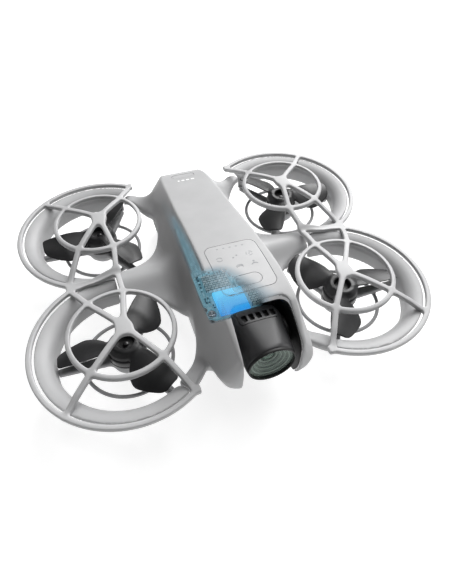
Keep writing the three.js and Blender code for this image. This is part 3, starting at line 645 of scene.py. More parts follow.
def arm_field(x, y, z):
    """The saddle arms between the ducts and the limbs at the four inner corners."""
    across, along = np.abs(x), np.abs(y)
    limb = smooth_step(41, 51, along)
    crest = -6 + 3.6 * limb + 5.6 * np.exp(-((y / 8.0) ** 2))
    slab = np.maximum(z - crest, SHELL_BOTTOM + (LIMB_BOTTOM - SHELL_BOTTOM) * limb - z)
    reach = np.where(along < 36, across - ARM_END_X, across - 60)
    plan = smooth_max(slab, reach, 0.8)
    from_axis = np.hypot(across - ROTOR_X, along - ROTOR_Y)
    corner = np.arctan2(along - ROTOR_Y, ROTOR_X - across)
    outer = np.where(along > ROTOR_Y, from_axis - (DUCT_RIM - 0.4), -20.0)
    past_limb = np.where(along > ROTOR_Y, (corner - math.radians(55.7)) * from_axis, -20.0)
    tail = along - np.where(y > 0, 55.5, 57.5)
    return smooth_max(smooth_max(smooth_max(plan, outer, 1.5), past_limb, 0.8), tail, 2.0)


def opening_field(x, y, z):
    """Room for a rotor: straight below the blades and leaning in above them."""
    radius = DUCT_BORE - 1.4 * smooth_step(-3, 9, z)
    return np.hypot(np.abs(x) - ROTOR_X, np.abs(y) - ROTOR_Y) - radius


def body_field(x, y, z):
    return smooth_min(hull_field(x, y, z), arm_field(x, y, z), 6.5 - 4.0 * smooth_step(-44, -50, y))


EDGE = 2.3  # thickness of the moulding at the rim of an opening


def rim_heights(end):
    """Height of the moulding round one opening, by angle about the rotor axis."""
    angles = np.radians(np.arange(-180, 181, 3.0))[:, None]
    heights = np.arange(12, -9, -0.1)
    x = ROTOR_X + (DUCT_BORE + 0.2) * np.cos(angles)
    y = ROTOR_Y + (DUCT_BORE + 0.2) * np.sin(angles)
    solid = body_field(x, end * y, heights) < 0
    return angles[:, 0], np.where(solid.any(1), heights[solid.argmax(1)], -9)


RIM_HEIGHTS = {end: rim_heights(end) for end in (-1, 1)}


def undercut_field(x, y, z):
    """The space below the thin rims of the openings, except at the posts that carry the motor struts."""
    across, along = np.abs(x) - ROTOR_X, np.abs(y) - ROTOR_Y
    angle = np.arctan2(along, across)
    height = np.where(y < 0, np.interp(angle, *RIM_HEIGHTS[-1]), np.interp(angle, *RIM_HEIGHTS[1]))
    depth = np.clip(height - EDGE - z, -0.5, 7)
    space = (np.hypot(across, along) - DUCT_BORE - 1.25 * depth) / 1.6
    post = np.hypot(np.abs(x) - 30.9, np.abs(y) - 8.0) - 1.7
    return np.maximum(np.maximum(space, 17.2 - np.abs(x)), -post)


def outer_shell_field(x, y, z):
    opened = smooth_max(body_field(x, y, z), -opening_field(x, y, z), 1.1)
    return smooth_max(opened, -undercut_field(x, y, z), 0.4)


BAY_ROOM = [
    (-59.4, -40), (BAY_BACK, -40), (BAY_BACK, 19.6), (-49.8, 19.6),
    (-53.5, 17.7), (-57.2, 15.2), (-59.6, 13.4),
    (-60.8, 11.2), (-61.2, 7.6), (-61.2, 3), (-60.6, -0.8), (-59.4, -3.6),
]


def shell_field(x, y, z):
    """The moulded upper shell: hollow body, solid arms, open camera bay."""
    outer = outer_shell_field(x, y, z)
    hull = hull_field(x, y, np.maximum(z, SHELL_BOTTOM + 3))
    room = np.maximum(hull + WALL, np.maximum(np.abs(x) - 16.4, np.maximum(BAY_BACK + WALL - y, y - 55)))
    shell = smooth_max(outer, -room, 0.4)
    bay = np.maximum(outline_distance(BAY_ROOM, y, z), np.abs(x) - BAY_HALF_WIDTH)
    notch = box_distance(x, y + 70, LIP_HALF_WIDTH, 70 + NOTCH_EDGE, 3.2)
    return smooth_max(smooth_max(shell, -bay, 0.4), -np.maximum(notch, -10 - z), 0.55)


def panel_outline(margin):
    """Indicator panel: rounded, with a slightly bowed rear edge."""
    half, front, back, radius = 9.6 + margin, -41 - margin, -15.5 + margin, 2.6 + margin
    outline = []
    for x, y in rounded_box_outline(half, front, back, radius, 8):
        bow = -0.9 * (x / half) ** 2 if y > (front + back) / 2 else 0.35 * (x / half) ** 2
        outline.append((x, y + bow))
    return outline


def box_of(node):
    low, high = (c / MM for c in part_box(node))
    return low - Vector((0, 0, RIM)), high - Vector((0, 0, RIM))


def middle_y(node):
    return sum(corner.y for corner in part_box(node)) / 2 / MM


def key_outline(node, half_x, half_y, radius):
    """Outline of a key, as a function of the margin round it."""
    y = middle_y(node)
    return lambda margin: rounded_box_outline(
        half_x + margin, y - half_y - margin, y + half_y + margin, radius + margin, 8)


mode_outline = key_outline("mode_button", 5.15, 2.35, 2.3)
power_outline = key_outline("power_button", 5.3, 1.8, 1.75)
SEAM = 0.16  # visible width of a moulded joint line
PANEL_DEPTH = 0.75


def skin_block(name, depth, low, high):
    """Solid under the outer skin lowered by depth, to trim what sits flush in it."""
    return field_object(name, lambda x, y, z: outer_shell_field(x, y, z + depth), low, high, 0.5, mirror=True)


def dress_walls(made, outlines):
    """Gives the upright walls along some seams a painted seam shadow, and faces inside the shell their own
    material.
    """
    mesh = made.data
    normals, centres = np.empty((2, len(mesh.polygons) * 3))
    mesh.polygons.foreach_get("normal", normals)
    mesh.polygons.foreach_get("center", centres)
    upright = np.abs(normals[2::3]) < 0.5
    x, y, z = centres.reshape(-1, 3).T / MM
    near = np.any([np.abs(outline_distance(outline, x, y)) < 0.5 for outline in outlines], axis=0)
    seam = upright & near & (z - RIM > top_height(y) - 1.1)
    inside = ~seam & (outer_shell_field(x, y, z - RIM) < -0.7)
    mesh.materials.append(SEAM_SHADOW)
    mesh.materials.append(SHELL_INSIDE)
    mesh.polygons.foreach_set("material_index", seam + 2 * inside.astype(np.int32))


def build_shell():
    shell = field_object("top_shell", shell_field, (0, -63.4, -10.5), (43, 60.5, 24), 0.495, mirror=True)
    low, deep, high = (0, -43.5, 8), (0, -43.5, 6), (13, -13, 24.5)
    seat = prism("seat_tool", panel_outline(SEAM), 10, 30)
    cut(seat, skin_block("seat_floor", PANEL_DEPTH + 0.4, deep, high))
    cut(shell, seat)
    cut(shell, prism("mode_tool", mode_outline(SEAM), 14, 30))
    cut(shell, prism("power_tool", power_outline(SEAM), 3, 20))
    port_low, port_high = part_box("charging_port")
    port = rounded_box_outline(
        port_high.x / MM + SEAM, port_low.z / MM - RIM - SEAM, port_high.z / MM - RIM + SEAM, 1.6, 5)
    cut(shell, prism_along_y("port_tool", port, 50, 62))
    piece(shell, "airframe", SHELL, ["upper_shell"])
    dress_walls(shell, [panel_outline(SEAM), power_outline(SEAM), mode_outline(SEAM)])

    skin = skin_block("panel_skin", 0, low, high)
    panel = combine(prism("panel", panel_outline(0), 10, 30), skin, "INTERSECT")
    cut(panel, skin_block("panel_floor", PANEL_DEPTH, deep, high))
    cut(panel, prism("panel_tool", mode_outline(SEAM), 10, 30))
    piece(panel, "airframe", PANEL, ["indicator_panel"], sharp_angle=30)

    keys = (
        ("mode_key", mode_outline(0), 19.2, "mode_button", (-40, -32)),
        ("power_key", power_outline(0), 3.4, "power_button", (46, 52)),
    )
    for name, outline, floor, node, (front, back) in keys:
        skin = skin_block("key_skin", 0.04, (0, front, floor - 2), (7, back, 25))
        key = combine(prism(name, outline, floor, 30), skin, "INTERSECT")
        piece(key, node, PANEL, [node], sharp_angle=30)


def decal(name, outlines, material):
    """Thin printed marks that follow the top skin; outlines are lists of (x, y)."""
    points, faces = [], []
    for outline in outlines:
        start, count = len(points), len(outline)
        for x, y in outline:
            z = float(top_height(y))
            points += [(x, y, z - 0.1), (x, y, z + 0.03)]
        for i in range(count):
            j = (i + 1) % count
            faces.append((start + 2 * i, start + 2 * j, start + 2 * j + 1, start + 2 * i + 1))
        faces.append([start + 2 * i + 1 for i in range(count)])
        faces.append([start + 2 * i for i in reversed(range(count))])
    return piece(object_of(name, points, faces), "airframe", material)


def dot(x, y, radius_x, radius_y=None):
    return arc((x, y), (radius_x, radius_y or radius_x), 0, 345, 24)


def stroke(centre, radius, start, end, width=0.32):
    """A curved line as an outline."""
    outside = arc(centre, radius + width / 2, start, end, 16)
    return outside + arc(centre, radius - width / 2, end, start, 16)


def build_marks():
    """Generic pictograms: status pips, six small mode signs and a row of white pips."""
    rear, front = -24.0, -29.3  # the two rows of signs
    signs = [dot(x, -18.2 - 0.05 * x, 0.42, 0.3) for x in np.linspace(-4.8, 4.7, 5)]
    signs += [stroke((-5.8, rear), 1.0, a, a + 140) for a in (20, 200)]
    signs += [dot(-0.9, rear - 0.5, 0.36), dot(0.6, rear + 0.4, 0.36)]
    signs += [stroke((5.3, rear), 1.15, a, a + 75) for a in (10, 130, 250)] + [dot(5.3, rear, 0.3)]
    signs += [stroke((-5.8, front), 1.0, 100, 260), dot(-5.2, front, 0.36)]
    signs += [stroke((-0.2, front - drop), 1.5, 35, 145) for drop in (0.9, 1.5)]
    signs += [dot(5.2, front + 0.8, 0.42), stroke((5.2, front - 1.3), 1.2, 25, 155, 0.45)]
    decal("panel_signs", signs, INK)
    pips = ((-3.4, 0.5), (-1.3, 0.8), (0.9, 0.8), (3.3, 0.9))
    decal("rear_pips", [dot(x, 43.6, half_width, 0.6) for x, half_width in pips], WHITE_INK)


# ------------------------------------------------------------------ rotor guards
CAGES = {
    "front": {
        "hub": (43, -30.8), "ring": (44.3, -30.3), "radius": 18.7, "heights": (7.1, 4.4),
        "spokes": [
            [(32.6, -44.9), (27.2, -54.8), (25.3, -58.2)], [(57, -44), (63.4, -49.8), (67.2, -53.6)],
            [(54, -14.3), (58.3, -5.2), (60.0, -0.6)], [(40.4, -12), (40.6, -3), (40.7, 2.0)],
        ],
    },
    "rear": {
        "hub": (42.4, 29.5), "ring": (43.3, 30.2), "radius": 17.8, "heights": (7.7, 5.0),
        "spokes": [
            [(31.4, 43.4), (26.8, 54.2), (25.1, 58.4)], [(55.6, 43.1), (61.2, 52), (64.4, 56.2)],
            [(53.3, 15.4), (58.5, 5.4), (60.2, 0.8)], [(39.4, 12.8), (40.5, 4.5), (40.7, 2.4)],
        ],
    },
}
WAIST_BAR = [(40.9, 1.6), (50, 0.2), (58.6, 0)]
HOOP_MIDDLE, HOOP_HALF_WIDTH, HOOP_LEVEL = 33.3, 0.98, -0.42
INNER_CORNER = (25.3, 58.2)  # where the hoops end beside the body
WAIST_TOP = (40.7, 1.5)  # the cages rise a little where they meet at the waist
HUB_RADIUS = 2.5
SPOKE_HALF_WIDTH, RING_HALF_WIDTH, WAIST_HALF_WIDTH, BAR_HALF_HEIGHT = 1.06, 0.9, 1.35, 0.95
for cage in CAGES.values():
    top, ring = cage["heights"]
    rim_level = [(25.5, 2.3), (33.2, HOOP_LEVEL), (40, HOOP_LEVEL)]
    cage["dome"] = Curve([(0, top), (2.5, top - 0.1), (cage["radius"], ring)] + rim_level)


def bar_plan(x, y, path, half_width):
    """Plan distance to a bar along a path of (x, y) points."""
    best = 1e9
    for (ax, ay), (bx, by) in zip(path, path[1:]):
        dx, dy = bx - ax, by - ay
        t = np.clip(((x - ax) * dx + (y - ay) * dy) / (dx * dx + dy * dy), 0, 1)
        best = np.minimum(best, np.hypot(x - ax - t * dx, y - ay - t * dy))
    return best - half_width


def hoop_plan(x, y, end):
    """The rim hoop, kept on the outer side of the chord from the waist to the inner corner."""
    ring = np.abs(np.hypot(x - ROTOR_X, y - end * ROTOR_Y) - HOOP_MIDDLE) - HOOP_HALF_WIDTH
    waist_x = ROTOR_X + math.sqrt(HOOP_MIDDLE**2 - ROTOR_Y**2)
    corner_x, corner_y = INNER_CORNER[0], end * INNER_CORNER[1]
    along = Vector((corner_x - waist_x, corner_y)).normalized()
    inside = end * ((x - waist_x) * along.y - y * along.x)
    tab = box_distance(x - corner_x, y - corner_y, 1.5, 1.4, 0.4)
    return np.minimum(smooth_max(ring, -inside - 0.9, 0.8), tab)


def guard_field(x, y, z):
    """Flat-topped bars of one side: a filleted plan of bars, cut out of two shallow domes."""
    plan, levels = 1e9, []
    for name, cage in CAGES.items():
        ring_x, ring_y = cage["ring"]
        from_ring = np.hypot(x - ring_x, y - ring_y)
        spokes = np.hypot(x - cage["hub"][0], y - cage["hub"][1]) - HUB_RADIUS
        for spoke in cage["spokes"]:
            spokes = smooth_min(spokes, bar_plan(x, y, [cage["hub"]] + spoke, SPOKE_HALF_WIDTH), 2.8)
        ring = np.abs(from_ring - cage["radius"]) - RING_HALF_WIDTH
        one = smooth_min(smooth_min(hoop_plan(x, y, ENDS[name]), ring, 0.4), spokes, 1.3)
        plan = smooth_min(plan, one, 1.4)
        levels.append(cage["dome"](from_ring))
    plan = smooth_min(plan, bar_plan(x, y, WAIST_BAR, WAIST_HALF_WIDTH), 1.6)
    share = smooth_step(-2.5, 2.5, y)
    level = levels[0] * (1 - share) + levels[1] * share
    level = level + 1.3 * np.exp(-((x - WAIST_TOP[0]) ** 2 + (y - WAIST_TOP[1]) ** 2) / 60)
    return smooth_max(plan, np.abs(z - level) - BAR_HALF_HEIGHT, 0.6)


def mirrored_copy(source, name, sign_x=1, sign_y=1):
    made = in_scene(name, source.data.copy())
    made.data.transform(Matrix.Diagonal((sign_x, sign_y, 1, 1)))
    if sign_x * sign_y < 0:
        made.data.flip_normals()
    return made


def build_guards():
    base = field_object("guard_base", guard_field, (22, -65.6, -2.2), (79, 65.6, 10), 0.36)
    for side, sign in SIDES.items():
        nodes = [f"guard_{part}_{end}_{side}" for part in ("cage", "hoop") for end in ENDS]
        guard = mirrored_copy(base, f"rotor_guard_{side}", sign)
        piece(guard, "airframe", GUARD, nodes + [f"guard_waist_{side}"], sharp_angle=45)
    bpy.data.objects.remove(base)


# ------------------------------------------------------------------ duct lips
LIP_PROFILE = (
    arc((31.5, -5.0), (5.9, 4.3), 90, 180, 14)
    + [(25.6, -9.9), (26.8, -9.9)]
    + arc((31.5, -5.2), (4.6, 3.2), 180, 90, 10)
)


def lip_field(x, y, z):
    """Bell-mouthed lip of the front left duct, with rounded ends."""
    dx, dy = x - ROTOR_X, y + ROTOR_Y
    radius = np.hypot(dx, dy)
    profile = outline_distance(LIP_PROFILE, radius, z) - 0.1
    corner = math.radians(-124)
    past_corner = np.where(dy < 0, dx * math.sin(corner) - dy * math.cos(corner), -9.0)
    past_corner = np.where(dx < 0, past_corner, -9.0)
    past_arm = np.where(dy > 0, ARM_END_X + GAP - x, -9.0)
    return smooth_max(smooth_max(profile, np.maximum(past_corner, past_arm), 2.4), y + 0.25, 0.5)


def build_ducts():
    base = field_object("lip_base", lip_field, (25, -64, -10.6), (77.5, 0.6, 0.2), 0.42)
    for end, end_sign in ENDS.items():
        for side, sign in SIDES.items():
            lip = mirrored_copy(base, f"duct_{end}_{side}", sign, -end_sign)
            piece(lip, "airframe", LIP, [f"duct_lip_{end}_{side}"], sharp_angle=60)
    bpy.data.objects.remove(base)


# ------------------------------------------------------------------ rotors
BLADE = [  # radius, leading offset, its z, trailing offset, its z, thickness
    (3.5, 2.0, -1.7, -1.8, -2.9, 1.5), (5.6, 2.4, -1.5, -2.6, -3.4, 1.3), (8.0, 3.1, -1.3, -5.6, -4.9, 1.2),
    (11.0, 3.5, -1.1, -8.0, -6.0, 1.0), (14.0, 3.7, -1.2, -8.8, -6.2, 0.9),
    (17.5, 3.7, -1.6, -7.8, -5.9, 0.8),
    (24.6, 3.2, -2.5, -3.7, -4.6, 0.65),
]
BLADE_TIP = 24.4
BLADE_CURVES = [Curve([(row[0], row[k]) for row in BLADE]) for k in range(1, 6)]
HUB_OUTLINE = [
    (0, -3.9), (6.7, -3.9), (6.4, -2.7), (5.3, -1.1), (4.7, -0.75),
    (3.5, -0.75), (3.2, -1.2), (3.1, -3.0), (0, -3.0),
]
THIRDS = [(math.cos(2 * math.pi * k / 3), math.sin(2 * math.pi * k / 3)) for k in range(3)]


def blade_field(r, u, z):
    lead, lead_z, trail, trail_z, thick = (curve(r) for curve in BLADE_CURVES)
    chord = lead - trail
    share = np.clip((lead - u) / chord, -0.1, 1.1)
    bulge = 4 * share * (1 - share)
    middle = lead_z + (trail_z - lead_z) * share + 0.07 * chord * bulge
    half = 0.5 * thick * np.sqrt(np.clip(bulge, 0.4, 1))
    pitch = (lead_z - trail_z) / chord
    sheet = (np.abs(z - middle) - half) / np.sqrt(1 + pitch**2)
    plan = smooth_max(smooth_max(u - lead, r - BLADE_TIP, 1.3), trail - u, 2.0)
    return smooth_max(smooth_max(sheet, plan, 0.3), 3.5 - r, 0.3)


def propeller_field(x, y, z):
    """Three blades on a ring-topped hub; turns anticlockwise seen from above."""
    around = np.hypot(x, y)
    hub = outline_distance(HUB_OUTLINE, around, z) - 0.1
    blades = 1e9
    for c, s in THIRDS:
        blades = np.minimum(blades, blade_field(x * c + y * s, -x * s + y * c, z))
    return smooth_max(smooth_min(hub, blades, 1.5), -np.maximum(around - 3.15, -3.0 - z), 0.3)


CUP_OUTLINE = [
    (0, -15.6), (2.6, -15.4), (4.8, -14.5), (6.2, -12.8), (6.7, -10.8),
    (6.7, -8.6), (5.9, -8.6), (5.9, -11), (0, -11),
]


def mount_field(x, y, z):
    """Motor cup on three struts with a thin ring below them."""
    around = np.hypot(x, y)
    total = outline_distance(CUP_OUTLINE, around, z) - 0.1
    for c, s in THIRDS:
        along, across = x * c + y * s, -x * s + y * c
        strut = box_distance(across, z + 10.1, 1.4 + 0.055 * (25 - along), 1.3, 1.0)
        total = smooth_min(total, smooth_max(strut, np.abs(along - 15.2) - 10.25, 0.2), 1.6)
    total = smooth_min(total, np.hypot(around - 16.6, z + 11.5) - 0.72, 1.0)
    return smooth_max(total, -np.maximum(around - 5.8, -11 - z), 0.2)


BELL_PROFILE = [
    (0, -8.0), (0.9, -8.0), (0.9, -4.9), (6.2, -4.9), (6.2, -8.3),
    (7.2, -8.3), (7.2, -7.5), (7.05, -7.4), (7.05, -7.0),
    (7.2, -6.9), (7.2, -4.8), (6.7, -4.25), (0, -4.25),
]
STUB_PROFILE = [(0, -3.1), (1.0, -3.1), (1.0, -2.2), (0, -2.1)]


def build_rotors():
    blades = field_object("prop_base", propeller_field, (-25.4, -25.4, -7.4), (25.4, 25.4, 0), 0.27)
    mount = field_object("mount_base", mount_field, (-17.9, -25.8, -16.2), (25.9, 25.8, -8.2), 0.4)
    for joint, (x, y, _) in AXES.items():
        if not joint.startswith("rotor_spin_"):
            continue
        place = joint.removeprefix("rotor_spin_")
        body = f"rotor_{place}"
        side_sign, end_sign = (1 if value > 0 else -1 for value in (x, y))
        parts = (
            (blades, f"prop_{place}", body, "propeller", PROP, [f"propeller_{place}"], end_sign * side_sign),
            (mount, f"rotor_mount_{place}", "airframe", "guard", MOUNT, [f"motor_mount_{place}"], 1),
        )
        for base, title, rides, slot, material, nodes, handed in parts:
            made = mirrored_copy(base, title, side_sign, side_sign * handed)
            made.data.transform(Matrix.Translation(Vector((x, y, 0)) * MM))
            piece(made, rides, material, nodes, sharp_angle=50)
        bell = lathe(f"bell_{place}", bevelled(BELL_PROFILE, 0.25), (x, y, 0))
        piece(bell, body, MOTOR_BLACK, [f"motor_bell_{place}"])
        stub = lathe(f"shaft_stub_{place}", bevelled(STUB_PROFILE, 0.2), (x, y, 0), steps=24)
        piece(stub, body, MOTOR_BLACK)
    bpy.data.objects.remove(blades)
    bpy.data.objects.remove(mount)


# ------------------------------------------------------------------ camera pod
def pod_ring(y, scale=1.0, at=None):
    """Superellipse section of the pod at y, round at the lens, flat-sided at the pivot; at: its y."""
    behind = max(y - PIVOT_Y, 0)
    forward = max(PIVOT_Y - y, 0) / (PIVOT_Y - LENS_FACE_Y)
    half_height = math.sqrt(max(POD_RADIUS**2 - behind**2, 0.04)) - (POD_RADIUS - LENS_RADIUS) * forward
    half_width = POD_HALF_WIDTH + (LENS_RADIUS - POD_HALF_WIDTH) * forward - 0.9 * (behind / POD_RADIUS) ** 4
    power = 2 / (4.5 - 2.5 * math.sqrt(forward))
    bulge = lambda value: math.copysign(abs(value) ** power, value)
    ring = []
    for a in np.arange(72) * math.pi / 36:
        x, z = half_width * bulge(math.cos(a)), half_height * bulge(math.sin(a))
        ring.append((scale * x, y if at is None else at, PIVOT_Z + scale * z))
    return ring


VENT_PITCH = 2.5
VENT_Y = -47.3
POD_FRONT = -60.7
BEZEL = [
    (7.85, -60.9), (7.88, -61.45), (7.98, -61.68), (8.18, -61.74),
    (8.38, -61.55), (8.48, -61.2), (8.5, -60.8),
    (7.85, -60.7),
]
FRONT_GLASS = [
    (0, -61.55), (2.8, -61.5), (5.6, -61.38), (7.6, -61.2),
    (7.75, -61.1), (7.6, -60.9), (5.6, -61.08), (0, -61.25),
]


def build_pod():
    """The housing with its vents and groove."""
    stations = list(POD_FRONT + 0.9 + np.linspace(0, PIVOT_Y - POD_FRONT - 0.9, 16))
    stations += [PIVOT_Y + POD_RADIUS * math.sin(a) for a in np.radians(np.linspace(6, 86, 16))]
    edge = ((0, 0.955), (0.15, 0.975), (0.45, 0.993))
    rings = [pod_ring(POD_FRONT, scale, POD_FRONT + back) for back, scale in edge]
    pod = loft("camera_pod", rings + [pod_ring(y) for y in stations])
    axis = (0, 0, PIVOT_Z)
    cut(pod, lathe("bore_tool", [(0, -62), (8.05, -62), (8.05, -51.6), (0, -51.6)], axis, "y", 64))
    for k in range(-2, 3):
        hole = moved(rounded_box_outline(0.85, -1.5, 1.5, 0.35, 4), VENT_PITCH * k, VENT_Y)
        cut(pod, prism("vent_tool", hole, PIVOT_Z + 7.4, PIVOT_Z + 12))
    seam = lambda margin: rounded_box_outline(
        6.9 + margin, VENT_Y - 2.3 - margin, VENT_Y + 5 + margin, 1.4 + margin, 6)
    groove = prism("groove_tool", seam(0.1), PIVOT_Z + 5.6, PIVOT_Z + 12)
    cut(groove, prism("groove_core", seam(-0.1), 0, 40))
    cut(groove, loft("groove_floor", [pod_ring(y, 0.955) for y in np.linspace(-52, PIVOT_Y + 8.6, 14)]))
    cut(pod, groove)
    piece(pod, "camera_pod", POD, ["pod_housing"], sharp_angle=40)


def build_lens():
    """Ring, cover glass, stepped barrel and inner lens of the camera."""
    axis = (0, 0, PIVOT_Z)
    angles = np.arange(72) * math.pi / 36
    points = [(r * math.cos(a), y, PIVOT_Z + r * math.sin(a)) for a in angles for r, y in BEZEL]
    bezel = object_of("lens_bezel", points, between_rings(len(angles), len(BEZEL), closed=True))
    piece(bezel, "camera_pod", TRIM, ["lens_ring"])
    glass = lathe("front_glass", FRONT_GLASS, axis, "y", 72)
    piece(glass, "camera_pod", GLASS, ["lens_glass"])
    steps = [(0, -52.6), (7.8, -52.6), (7.8, -60.5), (7.2, -60.5)]
    for k in range(6):
        steps += [(7.1 - 0.75 * k, -60.1 + 0.42 * k), (6.4 - 0.75 * k, -60.0 + 0.42 * k)]
    tube = lathe("lens_tube", bevelled(steps + [(2.6, -57.2), (0, -57.2)], 0.08, 2), axis, "y", 64)
    piece(tube, "camera_pod", LENS_STEP, ["lens_barrel"])
    dome = [(2.5 * math.sin(a), -57.0 - 1.5 * math.cos(a)) for a in np.linspace(math.pi / 2, 0.05, 8)]
    inner = lathe("inner_lens", [(0, -56.9)] + dome + [(0, -58.5)], axis, "y", 48)
    piece(inner, "camera_pod", LENS_COAT)


LINER_SIDE = [
    (-58.8, -5.2), (-59.6, -3.4), (-60.5, -0.4), (-61.0, 3),
    (-61.0, 7.4), (-60.6, 10.8), (-59.4, 13.1), (-57, 14.9),
    (-53.3, 17.3), (-49.7, 19.2), (-38, 19.2), (-38, -8.8), (-46, -7), (-54, -6.6),
]
TILT_MOTOR = [
    (0, -12), (3.9, -12), (3.9, -10.6), (3.6, -10.5), (3.6, -10.1), (3.9, -10), (3.9, -8.62), (0, -8.62),
]


def liner_field(x, y, z):
    solid = np.maximum(outline_distance(LINER_SIDE, y, z), np.abs(x) - BAY_HALF_WIDTH + 0.15)
    lined = smooth_max(solid, -np.maximum(np.abs(x) - 10.1, y + 38.8), 0.2)
    motor_room = np.maximum(np.hypot(y - PIVOT_Y, z - PIVOT_Z) - 4.3, x + 9)
    return np.maximum(lined, -motor_room)


def bracket_field(x, y, z):
    disc = np.hypot(y - PIVOT_Y, z - PIVOT_Z) - 5.0
    plate = smooth_min(disc, box_distance(y + 44, z - 6.4, 5.2, 3.4, 0.8), 2.5)
    return smooth_max(plate, np.abs(x - 9.2) - 0.5, 0.25)


def build_camera_bay():
    """Black liner of the bay, the fixed bracket on the left and the tilt motor in the right cheek."""
    liner = field_object("bay_liner", liner_field, (-11.6, -61.6, -9.4), (11.6, -37.4, 19.8), 0.35)
    piece(liner, "airframe", LINER, ["camera_bay_liner"])
    bracket = field_object("tilt_bracket", bracket_field, (8.4, -54.4, 1), (10, -38.4, 13), 0.22)
    piece(bracket, "airframe", TRIM, ["gimbal_bracket"])
    motor = lathe("tilt_motor", bevelled(TILT_MOTOR, 0.2), (0, PIVOT_Y, PIVOT_Z), "x", 40)
    piece(motor, "airframe", MOTOR_BLACK, ["gimbal_motor"])


# ------------------------------------------------------------------ belly and battery
BELLY_TOP = SHELL_BOTTOM - GAP


def belly_field(x, y, z, front, back, round_front, round_back):
    half = 17.2 - 0.09 * (BELLY_TOP - z)
    body = smooth_max(np.abs(x) - half, BELLY - z, 5.5)
    body = smooth_max(body, z - BELLY_TOP, 0.3)
    body = smooth_max(body, front - y, round_front)
    return smooth_max(body, y - back, round_back)


BUCKLE_TRAVEL = 1.2
JOINT_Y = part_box("battery_pack")[0].y / MM  # where the battery meets the lower shell
BELLY_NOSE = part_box("lower_shell")[0].y / MM
BATTERY_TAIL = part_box("battery_pack")[1].y / MM


def belly_case_field(x, y, z):
    """The lower shell: a tray, open at the top."""
    solid = belly_field(x, y, z, BELLY_NOSE + 0.2, JOINT_Y - 0.15, 5.0, 0.3)
    ends = np.maximum(BELLY_NOSE + 3 - y, y - JOINT_Y + 2)
    hollow = np.maximum(np.maximum(np.abs(x) - 14.2, ends), BELLY + 2 - z)
    return smooth_max(solid, -hollow, 0.3)


def battery_field(x, y, z):
    return belly_field(x, y, z, JOINT_Y + 0.05, BATTERY_TAIL - 0.1, 0.3, 5.0)


def build_belly():
    """Lower shell with the downward sensor."""
    low, high = (0, BELLY_NOSE - 0.4, BELLY - 0.4), (17.8, JOINT_Y + 0.4, BELLY_TOP + 0.6)
    case = field_object("belly_case", belly_case_field, low, high, 0.45, mirror=True)
    y = middle_y("downward_sensor_window")
    seat = moved(rounded_box_outline(6.9, -2.8, 2.8, 2.1), 0, y)
    cut(case, prism("seat_tool", seat, BELLY - 1, BELLY + 1))
    eyes_x = (-2.6, 2.6)
    for x in eyes_x:
        cut(case, prism("eye_tool", moved(dot(0, 0, 1.7), x, y), BELLY, BELLY + 3))
    piece(case, "airframe", SHELL, ["lower_shell"])
    pane = moved(rounded_box_outline(6.7, -2.6, 2.6, 2.0), 0, y)
    pane = prism("sensor_pane", pane, BELLY + 0.12, BELLY + 0.7)
    piece(pane, "airframe", WINDOW, ["downward_sensor_window"])
    profile = bevelled([(0, BELLY + 0.75), (1.5, BELLY + 0.75), (1.5, BELLY + 4), (0, BELLY + 4)], 0.2)
    for k, (x, nodes) in enumerate(zip(eyes_x, (["downward_sensor"], ()))):
        eye = lathe(f"sensor_eye_{k}", profile, (x, y, 0), steps=28)
        piece(eye, "airframe", LENS_COAT, nodes)


def build_buckle(battery, side, sign):
    """One buckle with its ribs, and its pocket in the battery, deep enough for the press."""
    low, high = (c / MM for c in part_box(f"battery_buckle_{side}"))
    middle = (low + high) / 2
    half_y, half_z = (high.y - low.y) / 2, (high.z - low.z) / 2

    def ring(x, margin):
        outline = rounded_box_outline(half_y + margin, -half_z - margin, half_z + margin, 1.2)
        return [(x, y + middle.y, z + middle.z - RIM) for y, z in outline]

    pocket_floor = middle.x - sign * ((high.x - low.x) / 2 + BUCKLE_TRAVEL + 0.35)
    cut(battery, loft("buckle_tool", [ring(x, 0.2) for x in (pocket_floor, 20 * sign)]))
    edge = 0.15
    sections = ((low.x, -edge), (low.x + edge, 0), (high.x - edge, 0), (high.x, -edge))
    key = loft(f"buckle_{side}", [ring(x, margin) for x, margin in sections])
    face = high.x if sign > 0 else low.x
    for k in range(-2, 3):
        corners = [(-0.35, -0.35), (0.35, -0.35), (0.35, 0.35), (-0.35, 0.35)]
        rib = [(face + dx, k * 1.7 + dy + middle.y) for dx, dy in corners]
        cut(key, prism("rib_tool", rib, low.z - RIM + 0.9, high.z - RIM - 0.9))
    piece(key, f"buckle_{side}", BUCKLE, [f"battery_buckle_{side}"])


def build_battery():
    low, high = (0, JOINT_Y - 0.4, BELLY - 0.4), (17.8, BATTERY_TAIL + 0.5, BELLY_TOP + 0.6)
    battery = field_object("battery_case", battery_field, low, high, 0.5, mirror=True)
    for k in range(5):
        grip = moved(rounded_box_outline(9, -0.4, 0.4, 0.39, 5), 0, JOINT_Y + 8 + 1.6 * k)
        cut(battery, prism("grip_tool", grip, BELLY - 1, BELLY + 0.5))
    for side, sign in SIDES.items():
        build_buckle(battery, side, sign)
    piece(battery, "battery", SHELL, ["battery_pack"])


# ------------------------------------------------------------------ electronics
def soft_box(name, low, high, edge=0.15):
    """Box with rounded upright and chamfered level edges."""
    half_x, half_y = (high[0] - low[0]) / 2, (high[1] - low[1]) / 2
    centre = ((high[0] + low[0]) / 2, (high[1] + low[1]) / 2)
    chamfer = edge * 0.6
    rings = []
    for z, m in ((low[2], chamfer), (low[2] + chamfer, 0), (high[2] - chamfer, 0), (high[2], chamfer)):
        outline = rounded_box_outline(half_x - m, -half_y + m, half_y - m, max(edge - m, 0.02) + 0.05, 4)
        rings.append([(x, y, z) for x, y in moved(outline, *centre)])
    return loft(name, rings)


